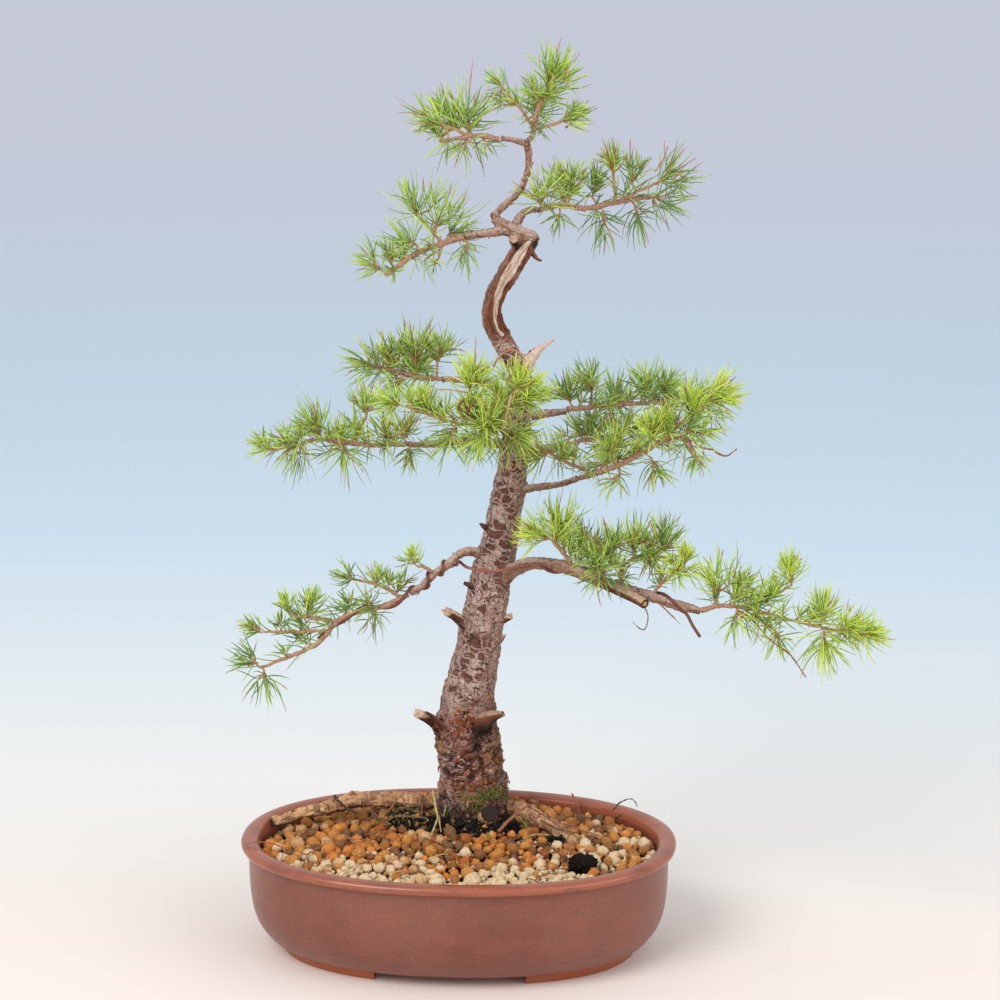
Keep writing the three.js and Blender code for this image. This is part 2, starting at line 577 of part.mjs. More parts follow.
function soilSolid(wood) {
  const step = SOIL.granule / Math.sqrt(3);
  const row = (step * Math.sqrt(3)) / 2;
  const rows = Math.ceil((2 * POT.halfWidth) / row) + 2;
  const columns = Math.ceil((2 * POT.halfLength + 2 * POT.halfWidth) / step) + 2;
  const slab = new THREE.BoxGeometry(columns * step, rows * row, SOIL.edge, columns, rows, 1);
  const position = slab.attributes.position;
  const humps = new Map();
  for (let i = 0; i < position.count; i += 1) {
    const column = Math.round(position.getX(i) / step + columns / 2);
    const line = Math.round(rows / 2 - position.getY(i) / row);
    const x = position.getX(i) + (line - rows / 2) * (step / 2);
    if (position.getZ(i) < 0) {
      position.setXYZ(i, x, position.getY(i), 0);
    } else {
      const key = `${column} ${line}`;
      if (!humps.has(key)) {
        const crest = (column + 2 * line) % 3 === 0;
        humps.set(key, {
          x: (draw() - 0.5) * 2 * SOIL.shift,
          y: (draw() - 0.5) * 2 * SOIL.shift,
          z: (crest ? SOIL.bump : -SOIL.bump / 2) + (draw() - 0.5) * SOIL.roughness,
        });
      }
      const hump = humps.get(key);
      position.setXYZ(i, x + hump.x, position.getY(i) + hump.y, soilHeight(x, position.getY(i)) + hump.z);
    }
  }
  const inside = ovalSolid([
    ...innerWall(CLEARANCE).reverse(),
    [POT.lipWidth + CLEARANCE, 2 * POT.height],
    [null, 2 * POT.height],
  ]);
  const filling = inside.intersect(solidOf(slab)).subtract(wood);
  return largest(filling.subtract(screenPocket(-1)).subtract(screenPocket(1)));
}

// Training wire: round the lower left limb, across the front of the trunk, and round the lower right limb

function coil(points, { from, to, turns, phase, crowding = 1 }) {
  const route = routeOf(points);
  const count = Math.round(8 * turns);
  const stops = Array.from({ length: count + 1 }, (_, i) =>
    THREE.MathUtils.lerp(from, to, 1 - (1 - i / count) ** crowding));
  return framesAlong(route.line, stops).map(({ centre, across, up }, i) => {
    const angle = phase + (2 * Math.PI * turns * i) / count;
    const out = radiusAt(route, stops[i]) + WIRE.radius + WIRE.lift;
    const place = centre.clone().addScaledVector(across, out * Math.sin(angle));
    return place.addScaledVector(up, out * Math.cos(angle));
  });
}

const WIRE_FRONT = [[-1, 18.5, 214], [4, 13.4, 212], [13, 11, 211], [21, 10, 211], [28, 8.2, 213]];
const WIRE_TAIL = [[127, -18, 190], [131, -19, 184]];

function wireLine() {
  const leftLimb = [...WOOD.lowerLeft.slice(1), ...SPRAYS.lower_left_spray.stems[0].slice(1)];
  const left = coil(leftLimb, { from: 0.72, to: 0.05, turns: 4.5, phase: 0.4, crowding: 1.4 });
  const right = coil(WOOD.lowerRight.slice(2), { from: 0.08, to: 0.87, turns: 2.2, phase: 1.5 });
  return curveThrough([...left, ...WIRE_FRONT.map(placeOf), ...right, ...WIRE_TAIL.map(placeOf)]);
}

function wireSolid(radius) {
  const section = new THREE.Shape();
  section.absarc(0, 0, radius, 0, 2 * Math.PI);
  return solidOf(new THREE.ExtrudeGeometry(section, {
    extrudePath: wireLine(),
    steps: WIRE.steps,
    curveSegments: WIRE.arcs,
    bevelEnabled: false,
  }));
}

// Needles: three-sided and bent once, each drawn out of a face of its tuft's bud
// They keep clear of the wood, the wire and the other sprays

// Every length of wood or needle that a needle must miss: its line, its radius and the spray it belongs to
const taken = [];

function take(owner, points, steps) {
  const route = routeOf(points);
  for (let i = 0; i < steps; i += 1) {
    const line = new THREE.Line3(route.line.getPoint(i / steps), route.line.getPoint((i + 1) / steps));
    taken.push({ owner, line, radius: radiusAt(route, i / steps) });
  }
}

function isClear(owner, line, radius) {
  return taken.every((other) => {
    const least = radius + other.radius + CLEARANCE;
    return other.owner === owner || other.line.distanceSqToLine3(line) > least * least;
  });
}

function centreOf(face) {
  return face[0].clone().add(face[1]).add(face[2]).divideScalar(3);
}

// The side walls from one three-sided ring to the next
function walls(ring, next) {
  return ring.flatMap((corner, i) => {
    const j = (i + 1) % 3;
    return [[corner, ring[j], next[j]], [corner, next[j], next[i]]];
  });
}

function ringAt(face, place, radius) {
  const centre = centreOf(face);
  return face.map((corner) => corner.clone().sub(centre).setLength(radius).add(place));
}

function needleFaces(face, [bend, tip]) {
  const ring = ringAt(face, bend, NEEDLE.radius);
  return [...walls(face, ring), ...ring.map((corner, i) => [corner, ring[(i + 1) % 3], tip])];
}

function spurFaces(face, root) {
  const ring = ringAt(face, root, BUD.radius / 2);
  return [...walls(face, ring), ring];
}

// The bend and the tip of a needle, or nothing where each one tried would cross another piece
function needlePath(owner, face, outward, reach) {
  const foot = centreOf(face);
  for (let attempt = 0; attempt < NEEDLE.attempts; attempt += 1) {
    const spread = NEEDLE.scatter * (1 + attempt / 3);
    const stray = new THREE.Vector3(draw() - 0.5, draw() - 0.5, draw() - 0.5);
    const aim = outward.clone().addScaledVector(stray, 2 * spread).normalize();
    const length = reach * THREE.MathUtils.lerp(NEEDLE.shortest, 1, draw());
    const sag = NEEDLE.droop * length * (1 - aim.z * aim.z);
    const bend = foot.clone().addScaledVector(aim, NEEDLE.bend * length);
    bend.z -= sag / 3;
    const tip = foot.clone().addScaledVector(aim, length);
    tip.z -= sag;
    const lines = [new THREE.Line3(foot, bend), new THREE.Line3(bend, tip)];
    if (lines.every((line) => isClear(owner, line, NEEDLE.radius))) {
      lines.forEach((line) => taken.push({ owner, line, radius: NEEDLE.radius }));
      return [bend, tip];
    }
  }
  return null;
}

function nearestPlace(stems, point) {
  const places = stems.flatMap((stem) => routeOf(stem).line.getPoints(BUD.stemPlaces));
  return places.sort((a, b) => a.distanceTo(point) - b.distanceTo(point))[0];
}

// A tuft: an eight-faced bud with needles out of its front faces, and a spur out of its rear face to the stem
function tuftSolid(owner, stems, [x, y, z, aimX, aimY, aimZ, reach]) {
  const place = new THREE.Vector3(x, y, z);
  const aim = new THREE.Vector3(aimX, aimY, aimZ).normalize();
  const bud = new THREE.OctahedronGeometry(BUD.radius);
  bud.rotateY(draw() * 2 * Math.PI);
  bud.rotateX(draw() * 2 * Math.PI);
  bud.translate(x, y, z);
  const corners = bud.attributes.position;
  const faces = Array.from({ length: corners.count / 3 }, (_, i) =>
    [0, 1, 2].map((j) => new THREE.Vector3().fromBufferAttribute(corners, 3 * i + j)));
  const outward = (face) => centreOf(face).sub(place).normalize();
  const towards = (direction) => (a, b) => outward(b).dot(direction) - outward(a).dot(direction);
  const root = nearestPlace(stems, place);
  const back = root.clone().sub(place);
  const away = back.length();
  const rear = away < BUD.radius ? null : [...faces].sort(towards(back.normalize()))[0];
  const front = faces.filter((face) => face !== rear && outward(face).dot(aim) > BUD.widest);
  const order = front.map((face) => ({ face, rank: draw() })).sort((a, b) => a.rank - b.rank);
  const count = reach > NEEDLE.shortTuft ? NEEDLE.perTuft : NEEDLE.perTuft - 1;
  const chosen = new Map();
  order.forEach(({ face }) => {
    const path = chosen.size < count ? needlePath(owner, face, outward(face), reach) : null;
    if (path) chosen.set(face, path);
  });
  const skin = faces.flatMap((face) => {
    if (chosen.has(face)) return needleFaces(face, chosen.get(face));
    return face === rear ? spurFaces(face, root) : [face];
  });
  return solidOf(new THREE.BufferGeometry().setFromPoints(skin.flat()));
}

function spraySolid(name, { stems, tufts }, wood, wire) {
  const stemSolids = stems.map((stem) => rod(stem, { sides: STEM_SIDES, steps: stem.length - 1 }));
  const tuftSolids = tufts.map((tuft) => tuftSolid(name, stems, tuft));
  return largest(joined([...stemSolids, ...tuftSolids]).subtract(wood).subtract(wire));
}

// Assembly

const BARK = { color: 0x8a6a5c, roughness: 0.95, metalness: 0 };
const FIRED_CLAY = { color: 0x8e5a4b, roughness: 0.55, metalness: 0 };
const GRANULES = { color: 0xb98a5c, roughness: 1, metalness: 0 };
const SCREEN_PLASTIC = { color: 0x26282a, roughness: 0.6, metalness: 0 };
const ANODISED_WIRE = { color: 0x7a4a36, roughness: 0.45, metalness: 0.6 };

const bonsai = new THREE.Group();
const woodAround = woodSolid(CLEARANCE);
const wireAround = wireSolid(WIRE.radius + CLEARANCE);

Object.entries(WOOD).forEach(([name, points]) => take("trunk", points, 3 * points.length));
STUBS.forEach((points) => take("trunk", points, points.length));
Object.entries(SPRAYS).forEach(([name, { stems }]) =>
  stems.forEach((stem) => take(name, stem, 2 * stem.length)));
const wireStops = wireLine().getPoints(WIRE.steps);
wireStops.slice(1).forEach((point, i) =>
  taken.push({ owner: "wire", line: new THREE.Line3(wireStops[i], point), radius: WIRE.radius }));

bonsai.add(meshOf("pot", potSolid(), FIRED_CLAY));
bonsai.add(meshOf("drain_screen_left", screenSolid(-1), SCREEN_PLASTIC));
bonsai.add(meshOf("drain_screen_right", screenSolid(1), SCREEN_PLASTIC));
bonsai.add(meshOf("soil", soilSolid(woodAround), GRANULES));
bonsai.add(meshOf("trunk", woodSolid(0), BARK));
bonsai.add(meshOf("training_wire", wireSolid(WIRE.radius), ANODISED_WIRE));
Object.entries(SPRAYS).forEach(([name, spray]) => {
  const solid = spraySolid(name, spray, woodAround, wireAround);
  bonsai.add(meshOf(name, solid, { color: spray.colour, roughness: 0.6, metalness: 0 }));
});

const box = new THREE.Box3().setFromObject(bonsai);
const middle = box.getCenter(new THREE.Vector3());
bonsai.position.set(-middle.x, -middle.y, -box.min.z);

export default bonsai;
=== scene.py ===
"""European larch bonsai in an oval clay pot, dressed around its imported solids.

Routes and places in the tables are in millimetres from the middle of the pot on the surface it stands on:
x to the right, y to the back, z up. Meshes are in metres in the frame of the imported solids.
"""

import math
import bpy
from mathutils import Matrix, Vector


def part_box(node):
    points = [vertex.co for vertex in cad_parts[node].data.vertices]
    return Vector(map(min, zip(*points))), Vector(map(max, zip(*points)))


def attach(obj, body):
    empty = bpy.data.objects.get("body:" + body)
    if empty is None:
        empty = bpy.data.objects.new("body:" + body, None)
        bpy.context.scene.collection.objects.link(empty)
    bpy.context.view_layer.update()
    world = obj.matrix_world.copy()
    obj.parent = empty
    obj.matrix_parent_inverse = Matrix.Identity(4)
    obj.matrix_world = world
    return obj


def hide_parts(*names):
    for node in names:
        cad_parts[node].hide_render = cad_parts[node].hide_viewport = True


bl_info = {
    "name": "European larch bonsai",
    "version": (1, 0, 0),
    "blender": (4, 5, 0),
    "location": "3D View > Sidebar > Bonsai",
    "description": "Dresses a larch bonsai with bark, needles, soil granules and a fired clay pot",
    "category": "Object",
}

from collections import namedtuple

import bmesh
import bpy
import numpy as np
from bpy.props import FloatProperty, FloatVectorProperty, IntProperty, PointerProperty
from mathutils import Euler, Vector

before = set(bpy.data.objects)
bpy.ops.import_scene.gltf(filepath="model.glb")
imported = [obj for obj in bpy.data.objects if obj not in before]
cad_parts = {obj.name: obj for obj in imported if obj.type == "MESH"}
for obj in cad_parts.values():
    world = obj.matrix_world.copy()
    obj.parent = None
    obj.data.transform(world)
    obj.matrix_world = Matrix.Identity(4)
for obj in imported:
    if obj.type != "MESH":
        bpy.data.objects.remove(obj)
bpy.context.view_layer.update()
POT_LOW, POT_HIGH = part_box("pot")
POT_CENTRE = np.array([(POT_LOW[0] + POT_HIGH[0]) / 2, (POT_LOW[1] + POT_HIGH[1]) / 2, 0.0])
MM = 0.001
BODY = "root"
UP = np.array([0.0, 0.0, 1.0])
FRONT = np.array([0.0, -1.0, 0.0])
FULL_TURN = 2 * math.pi
# Seeds of the random draws. A spray's row in the table is added to those of tufts, needles and twigs
SEEDS = {
    "flakes": 7, "soil": 11, "stubs": 17, "spurs": 19, "crumbs": 23, "moss": 29, "bed": 31, "litter": 37,
    "needles": 100, "tufts": 200, "twigs": 300,
}

# Routes of the wood: x, y, z and radius, from thick to thin

WOOD = {
    "trunk": [[6,38,50,23], [6,37,62,21.4], [5.5,36,74,19.6], [4.5,35,92,18.2], [2,33,116,18.2], [3,32,132,15.3],
    [6,31,149,13.9], [12,29,180,12.6], [18,26,210,11.8], [24,25,240,10.2], [28,23,264,9.2], [31.5,20,290,7.9],
    [33,18,312,6.7], [30.5,17,324,6.6], [23,15,337,6.4], [18,13,349,6.1], [19,12,360,5.9], [26,12,373,6.4],
    [33,12,384,6.2], [38,13,390,5.4]],
    "bend": [[36,13,387,5.3], [39,13,391,5.1], [35,12,394,4.7], [29,11,396,4.5], [24,11,399,3.8], [19,9,403,2.9]],
    "leader": [[19,9,403,2.9], [21,10,406,2.4], [33,10,418,2], [37,12,429,2], [37,12,438,2.1], [36,11,443,2.1]],
    "crownStem": [[36,11,442,2], [39,11,446,1.5]],
    "topLeft": [[36,11,442,2.1], [30,8,444,1.8], [23,5,445,1.6]],
    "upperLeft": [[30,11,396,3.2], [21,7,396,2.8], [12,4,395,2.3], [4,0,394,2.1]],
    "upperRight": [[29,12,396,3.2], [32,16,402,2.6], [36,20,406,2.2], [43,23,406,1.8]],
    "midLeftRear": [[30,20,305,4], [21,30,307,2.7], [10,39,310,2.4], [-12,47,310,2]],
    "midLeft": [[28,20,278,4], [19,15,281,2.7], [8,11,283,2.4], [-15,2,282,2.1]],
    "front": [[28,18,282,4], [26,2,289,2.5], [24,-10,294,2]],
    "midRight": [[29,22,252,4.4], [36,19,255,2.7], [53,12,259,2], [73,5,267,1.7]],
    "midRightRear": [[31,24,274,4.6], [38,35,272,3.7], [54,54,272,2.3]],
    "highRightRear": [[31,22,293,4], [38,31,293,2.9], [56,46,293,2.1]],
    "lowerLeft": [[15,25,216,3.9], [3,16,220,2.8], [-8,9,213,2.6], [-14,7,209,2.5], [-19,5,204,2.3], [-26,2,200,2]],
    "lowerRight": [[21,24,201,5.9], [29,16,210,4.7], [39,9,216,4], [56,3,216,3.8], [78,-3,209,3.6], [100,-7,204,3.4],
    [120,-12,199,3], [131,-14,197,2.3]],
    "rootLeft": [[-1,38,67,9], [-11,39,68,6.4], [-22,41,68,5], [-38,41.5,68,5.6], [-54,42,68,4.6], [-68,39,67,5.2],
    [-81,32,65,4], [-95,25,63,3.8], [-103,20,61.5,3.3], [-108,16.5,61.8,3]],
    "rootRight": [[16,37,66,8.5], [27,34,67,5.6], [38,29,66.5,5.4], [48,19,64,5], [57,12,60,4.2], [65,7,56,2.8]],
    "rootRear": [[9,41,66,7.9], [14,57,64,5.1], [21,68,60,3.2]],
    "rootFront": [[8,33,65,7.9], [13,19,67,5.3], [16,11,65,4.4]],
    "rootFrontLeft": [[3,36,64,7.9], [-6,24,62,5], [-13,13,57,3.3]],
}

# Leafy sprays: the slot of the record, how fresh the needles are, from 0 for dark to 1 for yellow-green, how full
# the spray is, the share of withered needles, then the stems as routes, and the tufts of needles as place, aim
# and length

Spray = namedtuple("Spray", "slot fresh full withered stems tufts")
SPRAYS = {
    "crown": ("fresh_needles", 0.26, 0.34, 0.1, [
        [[39,11,447,1.7], [41,9,457,1.5], [44,8,464,1.3], [47,8,470,1.2]],
        [[40,11,450,1.2], [33,5,461,1.1], [25,0,471,1]],
        [[40,11,449,1.2], [46,9,451,1.1], [55,8,454,1]],
        [[41,11,452,1.1], [41,27,455,1]],
    ], [
        [47,8,471,0.25,0,1,30], [44,7,465,0.5,-0.6,0.3,24], [42,12,461,-0.3,0.6,0.6,24], [24,0,472,-0.7,-0.1,0.7,15],
        [33,5,462,-0.6,-0.5,0.4,18], [55,8,454,1,-0.1,0.1,19], [41,28,456,0.2,1,0.4,22], [41,10,453,0.3,-0.6,-0.5,14],
    ]),
    "top_left": ("bright_needles", 0.38, 0.26, 0.16, [
        [[22,5,445,1.9], [12,1,447,1.6], [3,-2,446,1.5], [-8,-4,444,1.4]],
        [[7,0,446,1.1], [1,-4,450,1], [-5,-6,452,1]],
    ], [
        [-5,-6,452,-1,-0.1,0.35,24], [6,-1,449,0.1,0.1,1,37], [1,2,450,-0.5,0.3,1,30], [5,-1,444,0,-0.2,-1,20],
        [14,3,445,0.3,0.5,-0.6,15], [-8,-4,446,-0.4,0.5,0.6,17],
    ]),
    "upper_right": ("green_needles", 0.22, 0.46, 0.2, [
        [[43,23,406,2], [53,28,408,2], [66,32,406,2], [79,36,408,1.9], [91,39,410,1.7], [102,43,411,1.4]],
        [[84,37,409,1.3], [95,37,415,1.2], [106,35,420,1]],
        [[82,36,409,1.2], [82,34,416,1.1], [81,33,423,1]],
    ], [
        [43,19,410,-0.3,-0.8,0.5,27], [59,26,415,0,-0.3,1,23], [54,36,410,-0.3,0.9,0.5,24],
        [81,33,424,-0.2,-0.1,1,20], [91,39,419,0.1,0.5,1,24], [105,35,420,0.9,0,0.5,29], [102,43,411,1,0.1,-0.3,27],
        [76,33,404,0.15,-0.4,-1,24], [53,28,403,-0.2,0.1,-1,16], [70,39,412,0.2,0.6,0.8,22],
        [93,37,406,0.3,-0.6,-0.8,22],
    ]),
    "upper_left": ("green_needles", 0.38, 0.34, 0.1, [
        [[3,0,394,2.2], [-7,-4,391,2.1], [-19,-6,387,2.1], [-28,-9,381,2], [-36,-11,375,1.9]],
        [[-7,-4,391,1.4], [-13,-5,398,1.2], [-19,-6,405,1.1]],
        [[-7,-4,390,1.3], [-9,-7,383,0.9]],
    ], [
        [-20,-6,406,-0.45,0,1,28], [-10,-7,400,0.3,-0.2,1,31], [-21,-11,392,-0.8,-0.4,0.5,25],
        [-34,-5,381,-0.1,0.3,1,17], [-39,-12,378,-1,0,0.25,20], [6,-2,391,0.1,-0.4,-1,20],
        [-10,-7,382,-0.1,-0.2,-1,7], [-5,9,394,0.3,1,0.3,22], [-28,1,382,-0.4,0.9,0.2,20],
    ]),
    "mid_left_rear": ("dark_needles", 0.5, 0.9, 0.24, [
        [[-12,47,310,1.9], [-25,50,310,1.8], [-35,53,312,1.6], [-43,53,314,1.4]],
        [[-25,50,310,1.2], [-29,70,308,1]],
    ], [
        [-45,52,315,-0.8,-0.5,0.2,29], [-42,55,316,-0.1,0.3,1,25], [-27,48,319,0.1,-0.2,1,27],
        [-15,49,319,0,0.2,1,24], [-29,72,308,-0.2,1,0.2,24], [-34,48,310,-0.2,-0.6,-0.8,20],
        [-40,61,311,-0.7,0.8,0.1,22],
    ]),
    "mid_left": ("green_needles", 0.5, 0.95, 0.2, [
        [[-15,2,282,1.9], [-30,-2,283,1.8], [-46,-6,283,1.7], [-60,-9,285,1.6], [-72,-12,287,1.5], [-83,-15,285,1.4],
        [-97,-17,282,1.1]],
        [[-57,-8,284,1.2], [-52,-6,291,1.1], [-48,-4,298,1]],
    ], [
        [-97,-17,282,-1,-0.1,0.1,17], [-82,-15,287,-0.4,-0.4,-0.9,23], [-72,-11,290,-0.4,0.1,1,25],
        [-60,-11,283,0.2,-0.6,-0.9,25], [-48,-4,300,-0.2,0,1,21], [-37,-9,288,0.1,-0.8,0.6,23],
        [-25,-3,282,0.1,-0.3,-1,19], [-29,6,285,0,0.9,0.6,22], [-65,-3,285,0,1,0.4,22], [-90,-9,283,-0.5,0.8,0.3,18],
    ]),
    "front": ("fresh_needles", 0.58, 1.35, 0.1, [
        [[23,-11,294,1.7], [19,-21,297,1.5], [18,-31,300,1.3]],
        [[23,-11,294,1.3], [27,-16,304,1.2], [32,-18,315,1.1]],
        [[19,-21,297,1.2], [11,-23,303,1.2], [6,-24,308,1.1], [9,-23,315,1]],
        [[19,-21,297,1.2], [5,-26,299,1.1], [-11,-29,304,1], [-24,-32,309,0.9]],
    ], [
        [19,-33,300,-0.1,-1,-0.2,27], [26,-16,293,0.6,-0.7,-0.5,28], [33,-18,317,0.3,-0.1,1,22],
        [27,-22,309,-0.3,-0.6,0.7,20], [9,-23,316,-0.2,-0.2,1,24], [2,-30,299,-0.4,-0.7,-0.5,25],
        [-14,-27,305,-0.4,0.2,1,20], [-27,-32,310,-1,-0.1,0.1,19], [37,-13,310,1,-0.3,0.3,20],
        [14,-19,292,-0.2,-0.3,-1,22],
    ]),
    "mid_right": ("green_needles", 0.54, 1.1, 0.16, [
        [[74,5,267,2], [87,1,273,2], [100,-2,281,1.9], [112,-4,288,1.8], [121,-6,290,1.6], [127,-6,280,1.2]],
        [[108,-3,285,1.3], [119,-6,297,1.2], [132,-7,308,1]],
    ], [
        [82,-2,279,-0.1,-0.5,1,24], [133,-7,309,0.9,-0.1,0.3,25], [124,-6,302,0.2,-0.7,0.7,22],
        [104,-7,290,-0.2,-0.6,0.9,22], [87,0,268,-0.1,-0.3,-1,17], [104,-1,276,0.1,0.1,-1,19],
        [127,-6,279,0.1,-0.1,-1,14], [112,4,290,0.2,0.9,0.5,22], [122,-10,294,0.8,-0.6,-0.1,22],
        [80,9,272,-0.2,0.9,0.4,20],
    ]),
    "mid_right_inner": ("dark_needles", 0.42, 1.1, 0.22, [
        [[71,5,268,1.4], [59,-1,274,1.2], [50,-5,280,1]],
    ], [
        [49,-5,280,-0.9,-0.3,0.3,22], [56,-3,276,0.2,-0.4,1,16],
    ]),
    "mid_right_rear": ("dark_needles", 0.38, 1, 0.26, [
        [[54,54,272,1.7], [63,63,273,1.5], [76,73,273,1.3], [88,80,275,1.1]],
    ], [
        [89,81,275,0.8,0.6,0.2,24], [74,71,277,0,-0.2,1,20], [63,69,275,-0.3,0.9,0.4,23], [76,77,270,0.1,0.5,-0.9,20],
    ]),
    "high_right_rear": ("green_needles", 0.44, 1, 0.1, [
        [[57,46,294,1.9], [69,52,294,1.8], [85,58,295,1.7], [102,63,295,1.5], [119,66,297,1.2]],
        [[69,52,294,1.2], [70,51,302,1]],
        [[80,56,295,1.1], [83,78,293,1]],
    ], [
        [70,51,303,-0.4,-0.2,1,22], [99,62,301,-0.1,-0.1,1,25], [58,50,298,-0.1,0.2,1,22], [120,67,297,1,0.1,0.25,26],
        [82,80,293,0,1,0.3,25], [109,70,292,0.4,0.9,-0.1,22], [80,56,290,0,-0.4,-1,15], [109,60,302,0.4,-0.6,0.6,22],
    ]),
    "lower_right_heel": ("fresh_needles", 0.48, 1.2, 0.1, [
        [[64,1,213,1.6], [59,-4,223,1.3], [51,-8,233,1.1]],
    ], [
        [50,-9,234,-0.9,-0.2,0.35,24], [53,-6,231,0,0.3,1,27],
    ]),
    "lower_right_rear": ("dark_needles", 0.36, 1, 0.2, [
        [[75,-2,209,1.6], [73,9,215,1.3], [71,23,217,1.1]],
    ], [
        [70,25,217,-0.3,0.8,0.6,25], [73,15,217,0.4,0,1,22],
    ]),
    "lower_right_face": ("dark_needles", 0.36, 1.1, 0.2, [
        [[80,-2,208,1.6], [79,-12,216,1.3], [77,-19,221,1.1]],
    ], [
        [77,-21,222,-0.2,-1,0.1,26], [79,-14,217,0.1,-0.2,-1,18],
    ]),
    "lower_right_ridge": ("dark_needles", 0.4, 1.1, 0.34, [
        [[90,-5,206,1.7], [88,-4,215,1.5], [92,-3,221,1.3], [100,-1,223,1.2], [109,2,225,1]],
        [[88,-4,217,1.2], [83,-6,223,1]],
    ], [
        [83,-6,224,-0.3,-0.3,1,23], [95,-2,225,0,0.2,1,23], [110,2,225,0.5,0.1,1,24], [101,9,219,0.2,1,0.2,20],
        [104,-5,224,0.2,-0.9,-0.1,18],
    ]),
    "lower_right_bright": ("fresh_needles", 0.6, 1.1, 0.1, [
        [[105,-8,203,1.5], [111,-9,212,1.2], [121,-11,220,1]],
    ], [
        [122,-11,221,-0.05,-0.1,1,17], [118,-12,218,0.2,-0.8,-0.1,18],
    ]),
    "lower_right_tip": ("bright_needles", 0.56, 0.95, 0.1, [
        [[131,-14,197,2.3], [139,-15,200,1.7], [152,-16,200,1.4], [167,-18,197,1.2], [181,-20,194,1.1],
        [197,-22,191,1], [213,-23,188,0.9]],
        [[151,-17,200,1.1], [167,-12,204,1], [179,-10,211,0.9]],
        [[154,-16,199,1], [164,-19,193,0.9], [171,-19,188,0.8]],
    ], [
        [139,-18,208,-0.2,-0.4,1,28], [149,-10,202,0.3,0.8,0.5,24], [150,-22,199,0.1,-0.6,-0.8,22],
        [179,-10,212,0,0,1,19], [171,-19,187,0.3,0,-1,17], [196,-24,191,0,-0.5,-0.9,27], [195,-20,194,0.1,0.2,1,20],
        [214,-23,188,1,0,-0.05,19], [206,-18,188,0.5,0.9,-0.1,20], [166,-14,203,0.1,-0.6,0.8,18],
        [205,-26,192,0.4,-0.6,0.7,18],
    ]),
    "lower_left_heel": ("fresh_needles", 0.34, 0.5, 0.1, [
        [[-14,7,210,1.4], [-18,3,214,1.1], [-23,0,216,1]],
    ], [
        [-23,0,217,-0.3,-0.1,1,14],
    ]),
    "lower_left": ("bright_needles", 0.22, 0.5, 0.1, [
        [[-27,2,199,2.1], [-39,-3,194,2], [-52,-8,192,1.9], [-64,-11,187,1.8], [-74,-15,176,1.7], [-84,-18,171,1.5],
        [-95,-21,167,1.3], [-105,-22,163,1.1]],
        [[-30,1,197,1.2], [-42,-3,205,1], [-55,-6,209,0.9]],
        [[-65,-12,187,1.2], [-78,-14,189,1.1], [-88,-16,191,1]],
        [[-69,-13,182,1.2], [-85,-12,181,1.1], [-105,-11,180,0.9]],
    ], [
        [-56,-6,209,-0.9,-0.1,0.2,18], [-44,-3,205,0.1,0.2,1,17], [-46,-11,197,-0.3,-0.9,0.1,20],
        [-44,-5,191,0.1,-0.1,-1,17], [-89,-16,192,-0.3,-0.2,0.9,17], [-81,-15,189,0.3,0.3,1,22],
        [-106,-11,180,-0.9,0.1,0.2,16], [-107,-23,166,-1,-0.1,0.25,20], [-103,-22,161,-0.1,-0.2,-1,22],
        [-61,-1,189,-0.1,1,0.3,20], [-85,-8,175,-0.2,0.9,0.2,18], [-34,4,199,0.3,0.5,0.8,17],
    ]),
}

SPRAYS = {name: Spray(*row) for name, row in SPRAYS.items()}


# Colours and sizes that a user would change


def srgb(*levels):
    """A colour given in 0 to 255 as on a screen, made linear."""
    linear = [((c / 255 + 0.055) / 1.055) ** 2.4 if c > 10 else c / 255 / 12.92 for c in levels]
    return (*linear, 1.0)


def colour(name, description, value):
    return FloatVectorProperty(
        name=name, description=description, default=srgb(*value), size=4, min=0, max=1, subtype="COLOR"
    )


def length(name, description, millimetres):
    return FloatProperty(name=name, description=description, default=millimetres * MM, min=0, unit="LENGTH")


def number(name, description, value):
    return IntProperty(name=name, description=description, default=value, min=1)


def strength(name, description, value):
    return FloatProperty(name=name, description=description, default=value, min=0)


class WoodSettings(bpy.types.PropertyGroup):
    cell: length("Skin cell", "Side of the cells that fuse trunk, limbs and roots into one skin", 0.9)
    relief: length("Bark relief", "Depth of a millimetre of the bark's pattern", 1.0)
    flake_size: length("Flake size", "Width of the largest loose flakes of bark", 6.4)
    spur_size: length("Spur size", "Height of the old spurs on the limbs", 1.5)
    flakes: number("Flakes", "Loose flakes of bark on the trunk", 520)
    # Net is also laid as painted highlight on the tops of the limbs, on the lit left side of the flaky foot and along
    # the edges of its flakes.
    net_and_highlight: colour("Bark net", "Pale papery lines between the plates", (226, 197, 186))
    # Ash is also laid as painted highlight on the tops of twigs and stubs and on the lit left side of the upper trunk.
    ash_and_highlight: colour("Ash", "Pale grey bloom on the bark", (180, 143, 126))
    brown: colour("Brown bark", "Lighter plates", (140, 92, 80))
    scale: colour("Bark plates", "Dark reddish plates", (96, 56, 48))
    # Tan is also laid as painted shade on the right-facing side of the trunk.
    tan: colour("Tan bark", "Fresh layers of the flaky bark", (184, 136, 100))
    # Ochre is laid only on the right-facing side of the flaky foot, as painted shade.
    ochre: colour("Ochre bark", "Weathered layers on the right of the foot", (158, 122, 76))
    rust: colour("Rust", "Orange patches where flakes have fallen", (152, 82, 46))
    # Crack is also laid as painted shade on the undersides of roots and stubs, in the hollows and along the edge of
    # the dead wood.
    crack_and_shade: colour("Cracks", "Dark cracks and knots", (40, 28, 24))
    damp: colour("Damp", "Black damp foot of the trunk", (30, 24, 19))
    dead: colour("Dead wood", "Strip of bleached dead wood on the upper trunk", (234, 212, 194))
    cut: colour("Cut wood", "Sawn face of a stub", (196, 158, 96))
    twig: colour("Twig bark", "Bark of the limbs", (178, 136, 110))
    shoot: colour("Shoots", "Bark of the leafy stems", (180, 150, 80))
    root: colour("Root bark", "Bark of the surface roots", (252, 198, 142))


